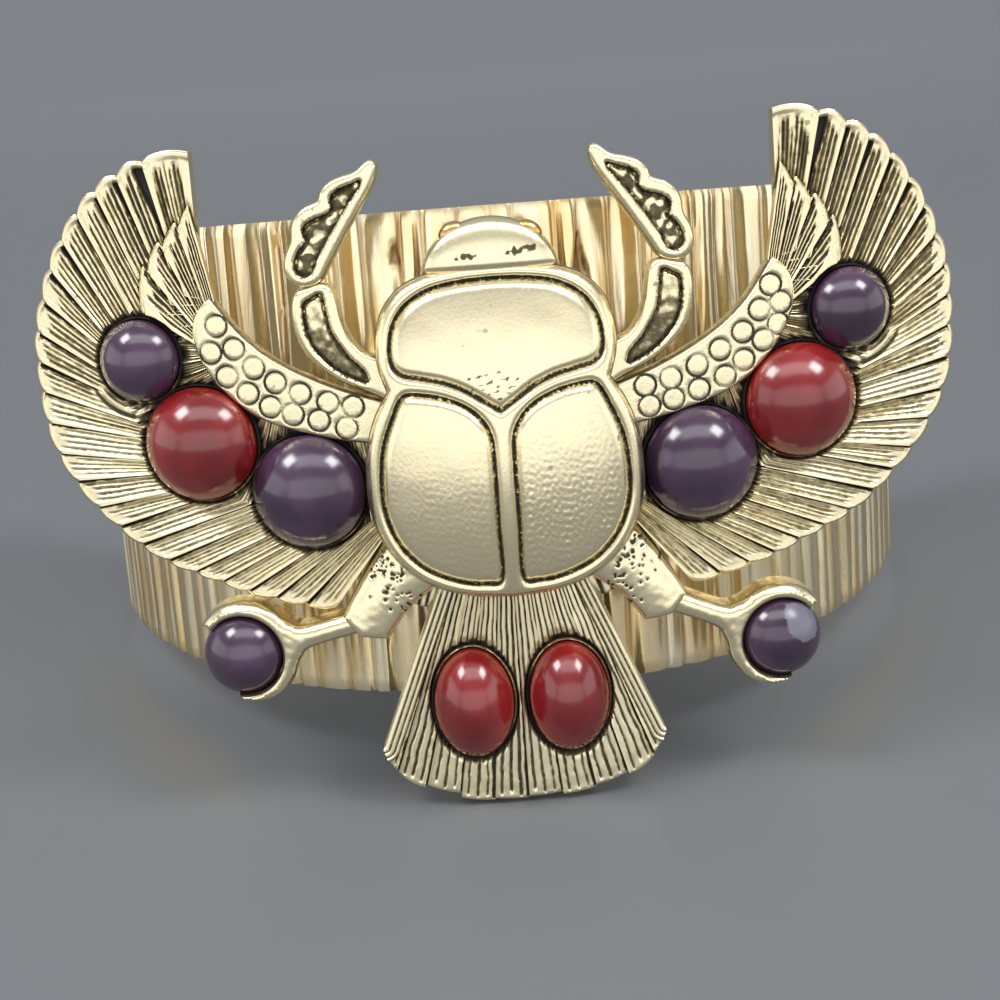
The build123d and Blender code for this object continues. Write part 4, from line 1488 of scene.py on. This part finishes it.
@dataclass
class HindLeg:
    """One hind leg: the pitted thigh, and the shin with its open cup round the stone."""

    side: Side
    thigh: Outline = (
        (5, 10.2), (7.7, 11.3), (8.8, 9.7), (10, 7.8), (10.75, 6.4), (9.7, 5.2), (8, 4.9), (6.6, 6.8),
        (4.2, 8.4))
    thigh_axis: Outline = ((6.2, 9.3), (9.4, 5.6))
    thigh_half: float = 2.25
    knee: Point = (9.3, 6.15)
    pits: int = 64
    cup_inner: float = 2.56
    cup_wall: float = 0.98
    cup_ends: Point = (38.0, 284.0)
    shin_half: float = 0.74

    def upper(self, material: Material) -> None:
        """Make the thigh."""
        outline = loop(straight(*self.thigh, self.thigh[0]), spacing=0.12)
        axis_start, axis_end = np.array(self.thigh_axis)
        run, aside = directions(axis_start, axis_end)
        pits = np.random.default_rng(70 + self.side.value)
        aslant = pits.uniform(-1.5, 2.2, self.pits)
        spots = np.column_stack([aslant, 0.6 - 0.28 * aslant + pits.triangular(-0.3, 0.1, 2.8, self.pits)])
        sizes = pits.uniform(0.07, 0.14, self.pits)
        centres = axis_start + spots[:, :1] * aside + spots[:, 1:] * run

        def shape(points: np.ndarray) -> Pair:
            """Height and patina of the thigh."""
            edge = depth_in(points, outline)
            crown = 0.25 + 1.15 * arc((points - axis_start) @ aside / self.thigh_half, 0.02)
            pit = np.exp(-(gaps_to(points, centres) / sizes).min(1) ** 4)
            height = crown - rounded(edge, 0.45) - 0.07 * pit + 0.008 * ripples(points, 0.9, 12)
            return height, np.maximum(pit * 0.95, 0.45 - edge / 0.12)

        ring = circle(8)[[*range(8), 0]]
        lines = [spot + size * share * ring for spot, size in zip(centres, sizes) for share in (0.5, 1.2)]
        relief = Relief.filled(outline, 0.10, shape, (0.05, 0.12, 0.20, 0.30), lines)
        put_relief(f"thigh_{self.side.word}", relief, self.side, material)

    def lower(self, material: Material) -> None:
        """Make the shin and the cup in one piece."""
        stone = STONES[f"leg_stone_{self.side.word}"]
        centre = np.array((abs(stone.x), stone.z))
        knee = np.array(self.knee)
        run, aside = directions(knee, centre)
        toward = math.degrees(math.atan2(-run[1], -run[0]))
        first, last = self.cup_ends

        def spoke(degrees: float, radius: float) -> np.ndarray:
            """Point at a direction and distance from the stone's middle."""
            turn = math.radians(degrees)
            return centre + radius * np.array((math.cos(turn), math.sin(turn)))

        def outer(degrees: float) -> np.ndarray:
            """Point of the cup's outer edge, whose wall thins out towards both ends."""
            end = first if degrees < toward else last
            away = (degrees - toward) / (end - toward)
            thinning = 0.3 if degrees < toward else 0.75
            return spoke(degrees, self.cup_inner + self.cup_wall * (1 - thinning * away ** 2.6))

        ring = self.cup_inner + self.cup_wall
        gap, fillet = 27, 18
        above = [outer(angle) for angle in np.linspace(first, toward - gap, 18)]
        below = [outer(angle) for angle in np.linspace(toward + gap, last, 18)]
        neck, half = centre - run * (ring + 0.95), self.shin_half * aside
        upper_side = [spoke(toward - fillet, ring + 0.22), neck + half, knee + half]
        lower_side = [knee - half, neck - half, spoke(toward + fillet, ring + 0.22)]
        inner = [spoke(angle, self.cup_inner) for angle in np.linspace(last - 2, first + 2, 60)]
        outline = loop(smooth(above + upper_side), straight(upper_side[-1], lower_side[0]),
                       smooth(lower_side + below), straight(below[-1], inner[0]), smooth(inner),
                       straight(inner[-1], above[0]), spacing=0.11)

        def shape(points: np.ndarray) -> Pair:
            """Height and patina of the shin and the cup, with painted shadow where the shin starts under the
            thigh.
            """
            edge = depth_in(points, outline)
            reach = np.hypot(*(points - centre).T)
            wall = reach - self.cup_inner
            drop = np.where(wall < edge + 0.02, rounded(edge, 0.28), rounded(edge, 0.74))
            height = 0.92 - drop + 0.008 * ripples(points, 0.8, 15)
            # Painted shadow: darker where the shin comes out from under the thigh's end
            start = 1 - ease((points - knee) @ run, 0.35, 0.6)
            return height, np.maximum.reduce([0.8 - wall / 0.05, 0.3 - edge / 0.10, 0.6 * start])

        relief = Relief.filled(outline, 0.11, shape, (0.05, 0.12, 0.20, 0.30, 0.42))
        put_relief(f"shin_{self.side.word}", relief, self.side, material)
        disc = centre + (self.cup_inner - 0.1) * circle(90)

        def floor(points: np.ndarray) -> Pair:
            """Height and patina of the seat's floor."""
            edge = depth_in(points, disc)
            return -0.55 - rounded(edge, 0.2), np.full(len(points), 0.95)

        seat = Relief.filled(disc, 0.4, floor, (0.08, 0.18))
        put_relief(f"leg_seat_{self.side.word}", seat, self.side, material)


# Band


@dataclass
class Cuff:
    """Open band with uneven upright ribs, made by Geometry Nodes."""

    height: float = 30.9
    thickness: float = 1.3
    arcs: Outline = ((27.6, 49.4), (58.5, 22.3), (17.3, 51.3))
    ribs: int = 62
    rib_depth: float = 0.34
    unevenness: float = 0.35
    wave_step: float = 2.4
    per_rib: int = 14
    rows: int = 72
    sunk: float = 0.08
    # Wedges beside the head, as place along the band, apex, length and half width; dented, and dark as
    # painted reflected shade
    folds: tuple = ((-6.0, 29.2, 1.4, 0.5), (5.6, 29.0, 2.8, 0.65))
    seed: float = 5.0

    def half_length(self) -> float:
        """Length of the band's outer line from its front middle to an end."""
        return sum(radius * math.radians(sweep) for radius, sweep in self.arcs)

    def plan(self, travel: np.ndarray, inset: float) -> np.ndarray:
        """Plan points at distances from the front middle, inset from the outer line."""
        left = np.abs(travel)
        x, y, heading = np.zeros(len(left)), np.zeros(len(left)), np.zeros(len(left))
        for radius, sweep in self.arcs:
            turn = np.clip(left / radius, 0, math.radians(sweep))
            x += radius * (np.sin(heading + turn) - np.sin(heading))
            y += radius * (np.cos(heading) - np.cos(heading + turn))
            heading = heading + turn
            left = left - radius * turn
        sign = np.where(travel >= 0, 1, -1)
        return np.column_stack([sign * (x - inset * np.sin(heading)), y + inset * np.cos(heading)])

    def columns(self) -> Pair:
        """Distance along the band, and rib number with its share, of each column of points."""
        widths = 1 + self.unevenness * np.sin(self.wave_step * np.arange(self.ribs))
        edges = np.concatenate([[0], np.cumsum(widths)])
        edges = edges / edges[-1] * 2 * self.half_length() - self.half_length()
        share = np.linspace(0, self.ribs, self.ribs * self.per_rib + 1)
        return np.interp(share, np.arange(self.ribs + 1), edges), share

    def build(self, material: Material) -> None:
        """Make the band."""
        travel, share = self.columns()
        outer, inner = [np.insert(self.plan(travel, inset), 2, 0, axis=1) for inset in (0.0, self.thickness)]
        outer_rail = rail("cuff_outer", outer, rib=share, travel=travel)
        builder = TreeBuilder("cuff_ribs")
        given = builder.inputs(Outer=outer_rail, Inner=rail("cuff_inner", inner), Height=self.height,
                               Depth=self.rib_depth, Thickness=self.thickness, Seed=self.seed,
                               Material=material)
        graph, seed, height = builder.graph, given["Seed"], given["Height"]
        grid = RailGrid(builder, given["Outer"], given["Inner"], len(travel), self.rows)
        mesh, _, up, column, face, back = grid.build()

        # Which rib a point is in, and its share across that rib; the ribs sway and fade on their way up
        count = grid.layer("rib", column)
        sway = graph.noise(graph.joined(X=count * 0.9, Y=up * 2.2, Z=seed), 0.8, 1) - 0.5
        fade = graph.noise(graph.joined(X=count * 1.3, Y=up * 1.6, Z=9.0), 1.1, 1)
        moved = (count + sway * 0.5).most(0.0).least(self.ribs - 0.001)
        rib = moved.floor()
        local = moved - rib

        # The groove between ribs, a rib's own depth and tilt, and a thin line in some of them
        luck = graph.chance(rib + seed)
        tilt = graph.chance(rib * 3.1 + seed) - 0.5
        groove = ((local - 0.5).magnitude() * 2).step(0.45, 1.0)
        minor = (1 - ((local - 0.35 - luck * 0.3) * 7).magnitude().step(0.0, 1.0)) * luck.step(0.35, 0.6)
        depth = (groove * (0.45 + 0.55 * fade.step(0.3, 0.6)) + luck * 0.30 + tilt * (local - 0.5) * 0.7
                 + minor * 0.22 * fade.step(0.4, 0.6)).most(0.0).least(1.25)

        # The distance behind the band's outer line
        rim = (up - 0.5).magnitude().step(0.488, 0.5)
        # Painted reflection: the wedges beside the head are darkened as the shade under the plaque seen in
        # the band
        shade_wedge = self.fold_marks(grid.layer("travel", column), up * height)
        inset = (depth * given["Depth"] + rim * 0.12 + shade_wedge * 0.25 + self.sunk) / given["Thickness"]
        plan = graph.vector("ADD", face, graph.scaled(graph.vector("SUBTRACT", back, face), inset))
        place = graph.vector("ADD", plan, graph.joined(Z=up * height))
        # Patina and painted shade in the grooves between ribs, and the wedges' painted reflected shade
        patina = (groove * groove * 0.62 + minor * 0.25).most(shade_wedge)
        builder.finish(mesh, place, patina, given["Material"])
        points, _, dark = builder.run()
        self.close(points, dark, travel, material)

    def fold_marks(self, travel: Field, level: Field) -> Field:
        """Mark the wedge-shaped dents in the band's face beside the head, darkened as a painted reflection of
        the shade under the plaque.

        Args:
            travel: Each point's distance along the band.
            level: Each point's height.

        Returns:
            Share of a dent, with its painted dark reflection, at each point.
        """
        marks = level * 0
        for place, apex, length, half in self.folds:
            down = (apex - level) / length
            width = down.most(0).least(1) * half + 0.02
            across = 1 - ((travel - place).magnitude() / width).step(0.55, 1.0)
            marks = marks.most(across * down.step(0.0, 0.05) * (1 - down.step(0.95, 1.1)))
        return marks

    def close(self, front: np.ndarray, dark: np.ndarray, travel: np.ndarray, material: Material) -> None:
        """Give the ribbed face its smooth inner face, its rims and its ends.

        Args:
            front: The grid's points, column after column.
            dark: Their patina.
            travel: Distance along the band of each column.
            material: The band's finish.
        """
        columns = len(travel)
        bevel, soft, skin_patina = 0.07, 0.28, 0.1
        section = ((0.25, self.height), (0.06, self.height - bevel), (0.0, self.height - soft),
                   (0.0, self.height / 2), (0.0, soft), (0.06, bevel), (0.25, 0.0))
        skin = [np.insert(self.plan(travel, self.thickness - inset), 2, level, axis=1)
                for inset, level in section]
        around = np.concatenate([front.reshape(columns, -1, 3), np.stack(skin, axis=1)], axis=1)
        plain = np.full((columns, len(skin)), skin_patina)
        shade = np.concatenate([dark.reshape(columns, -1), plain], axis=1)
        count = around.shape[1]
        faces = ring_faces(columns, count, flipped=True)
        faces.append(tuple(range(count)))
        faces.append(tuple(reversed(range((columns - 1) * count, columns * count))))
        piece = mesh_object("ribbed_cuff", STANCE.place(around.reshape(-1, 3)), faces, shade.reshape(-1), 70)
        finish_piece(piece, material, Slot.BAND, "cuff_band")


# Stage


@dataclass
class Studio:
    """Pale floor, soft lights and the camera at the photograph's angle."""

    camera_place: Place = (-0.0004446, -0.1094669, 0.049272)
    pitch: float = 18.787
    roll: float = -4.3
    lens: float = 54.0
    horizon: Colour = (0.235, 0.245, 0.265, 1)
    zenith: Colour = (0.50, 0.52, 0.55, 1)
    near_floor: Colour = (0.150, 0.156, 0.166, 1)
    far_floor: Colour = (0.45, 0.46, 0.48, 1)
    floor_roughness: float = 0.5
    reach: float = 3.0
    sweep_start: float = 1.0
    sweep_radius: float = 0.8
    sweep_steps: int = 17

    def link(self, made: bpy.types.Object) -> bpy.types.Object:
        """Put an object in the scene."""
        bpy.context.scene.collection.objects.link(made)
        return made

    def floor(self) -> None:
        """Make the floor, which sweeps up far behind the bracelet and is paler there."""
        bend = np.linspace(0, math.pi / 2, self.sweep_steps)
        sweep = np.column_stack([np.sin(bend), 1 - np.cos(bend)]) * self.sweep_radius + (self.sweep_start, 0)
        profile = [(-self.reach, 0), *sweep.tolist()]
        count = len(profile)
        points = [(side * self.reach, along, up) for side in (-1, 1) for along, up in profile]
        faces = [(row, row + count, row + count + 1, row + 1) for row in range(count - 1)]
        mesh = bpy.data.meshes.new("floor")
        mesh.from_pydata(points, [], faces)
        mesh.shade_smooth()
        made = bpy.data.materials.new("floor")
        made.use_nodes = True
        shader = made.node_tree.nodes["Principled BSDF"]
        shader.inputs["Roughness"].default_value = self.floor_roughness
        graph = Graph(made.node_tree)
        _, away, _ = graph.apart(graph.field("ShaderNodeTexCoord", output="Object"))
        colour = graph.mix(away.step(0.0, self.sweep_start), self.near_floor, self.far_floor)
        graph.feed(shader.inputs["Base Color"], colour)
        mesh.materials.append(made)
        self.link(bpy.data.objects.new("floor", mesh))

    def softbox(self, name: str, place: Place, aim: Place, size: Point, radiance: float) -> None:
        """Add one soft light that fades out towards its edges.

        Args:
            name: Its name.
            place: Where it stands, in metres.
            aim: What it looks at, in metres.
            size: Its width and height in metres.
            radiance: How bright its middle looks.
        """
        lamp = bpy.data.lights.new(name, "AREA")
        lamp.shape = "RECTANGLE"
        lamp.size, lamp.size_y = size
        lamp.energy = 4 * size[0] * size[1] * radiance
        lamp.use_nodes = True
        graph = Graph(lamp.node_tree)
        across, up, _ = graph.apart(graph.field("ShaderNodeNewGeometry", output="Parametric"))
        fade = (across * (1 - across) * 4).step(0.0, 0.75) * (up * (1 - up) * 4).step(0.0, 0.75)
        graph.feed(lamp.node_tree.nodes["Emission"].inputs["Strength"], fade)
        made = self.link(bpy.data.objects.new(name, lamp))
        turn = (Vector(aim) - Vector(place)).to_track_quat("-Z", "Y")
        made.matrix_world = Matrix.Translation(place) @ turn.to_matrix().to_4x4()
        made.visible_camera = False

    def world(self) -> None:
        """Set the soft grey surroundings, darker at the horizon than above."""
        world = bpy.data.worlds.new("studio")
        bpy.context.scene.world = world
        world.use_nodes = True
        graph = Graph(world.node_tree)
        _, _, up = graph.apart(graph.field("ShaderNodeTexCoord", output="Generated"))
        colour = graph.mix(up.step(0.05, 0.9), self.horizon, self.zenith)
        graph.feed(world.node_tree.nodes["Background"].inputs["Color"], colour)

    def camera(self) -> None:
        """Set the camera."""
        data = bpy.data.cameras.new("camera")
        data.lens = self.lens
        data.sensor_width = 36.0
        data.clip_start, data.clip_end = 0.005, 20
        made = self.link(bpy.data.objects.new("camera", data))
        made.matrix_world = (Matrix.Translation(self.camera_place)
                             @ Matrix.Rotation(math.radians(90 - self.pitch), 4, "X")
                             @ Matrix.Rotation(math.radians(self.roll), 4, "Z"))
        bpy.context.scene.camera = made

    def build(self) -> None:
        """Set up the whole stage: its floor, surroundings, six lights and camera, and plain colours."""
        self.floor()
        self.world()
        foot = (0.0, -0.02, 0.02)
        middle = (0.0, -0.02, 0.05)
        lights = (("front", (0.0, -0.55, 0.13), middle, (1.50, 0.60), 0.92),
                  ("side_left", (-0.70, -0.16, 0.13), middle, (0.90, 0.60), 1.0),
                  ("side_right", (0.70, -0.16, 0.13), middle, (0.90, 0.60), 1.0),
                  ("band", (0.0, -0.22, 0.54), foot, (0.70, 0.30), 1.8),
                  ("left", (-0.30, -0.10, 0.44), foot, (0.20, 0.20), 11.0),
                  ("right", (0.30, -0.14, 0.44), foot, (0.20, 0.20), 11.0))
        for light in lights:
            self.softbox(*light)
        self.camera()
        bpy.context.scene.view_settings.view_transform = "Standard"


def main() -> None:
    """Build the bracelet and its stage."""
    cast = CastGold().material()
    band = BandGold().material()
    purple = StoneGloss(name="purple_stone", deep=(0.030, 0.012, 0.033, 1), light=(0.076, 0.038, 0.080, 1))
    red = StoneGloss(name="red_stone", deep=(0.15, 0.005, 0.006, 1), light=(0.29, 0.016, 0.016, 1))
    gloss = {Slot.PURPLE: purple.material(), Slot.RED: red.material()}
    # Painted shade: a darker copy of the gold for the feathers, also rougher, so that they look duller than
    # the body under the same lights
    shaded_plumage = CastGold(name="feather_gold", bright=(0.83, 0.73, 0.47, 1), warm=(0.74, 0.60, 0.33, 1),
                       roughness=0.31).material()
    # Painted light: a brighter, rougher copy of the gold for the tail, whose slopes would otherwise mirror
    # the dark floor in front
    tail_gold = CastGold(name="tail_gold", bright=(0.96, 0.87, 0.60, 1), warm=(0.88, 0.75, 0.46, 1),
                         roughness=0.40).material()
    solder = CastGold(name="solder", bright=(0.70, 0.58, 0.33, 1), warm=(0.58, 0.44, 0.22, 1),
                      roughness=0.42).material()
    # Painted shade: a darker, more orange copy of the gold for the horns, which sit in shade behind the
    # head's edge
    horn_gold = CastGold(name="horn_gold", bright=(0.66, 0.43, 0.18, 1),
                         warm=(0.55, 0.34, 0.13, 1)).material()
    for node in ("solder_pad_upper", "solder_pad_lower"):
        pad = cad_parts[node]
        pad.data.materials.clear()
        pad.data.materials.append(solder)
    Cuff().build(band)
    for side in Side:
        wing = Wing(side)
        wing.feathers([wing.coverts(shaded_plumage), wing.arm(cast)], shaded_plumage)
        Foreleg(side).build(cast)
        leg = HindLeg(side)
        leg.upper(cast)
        leg.lower(cast)
    Tail().build(tail_gold)
    body = Body()
    body.build(cast)
    body.head(cast)
    for side in Side:
        body.horn(side, horn_gold)
    for stone in STONES.values():
        finish = gloss[stone.slot]
        if stone.node == "leg_stone_right":
            finish = replace(purple, name="purple_stone_dusty", patch=stone.spot(1.3, 1.5, 2.0),
                             patch_reach=0.0017).material()
        stone.build(finish)
        if not stone.node.startswith("leg"):
            stone.bezel(cast)
    Studio().build()


if __name__ == "__main__":
    main()
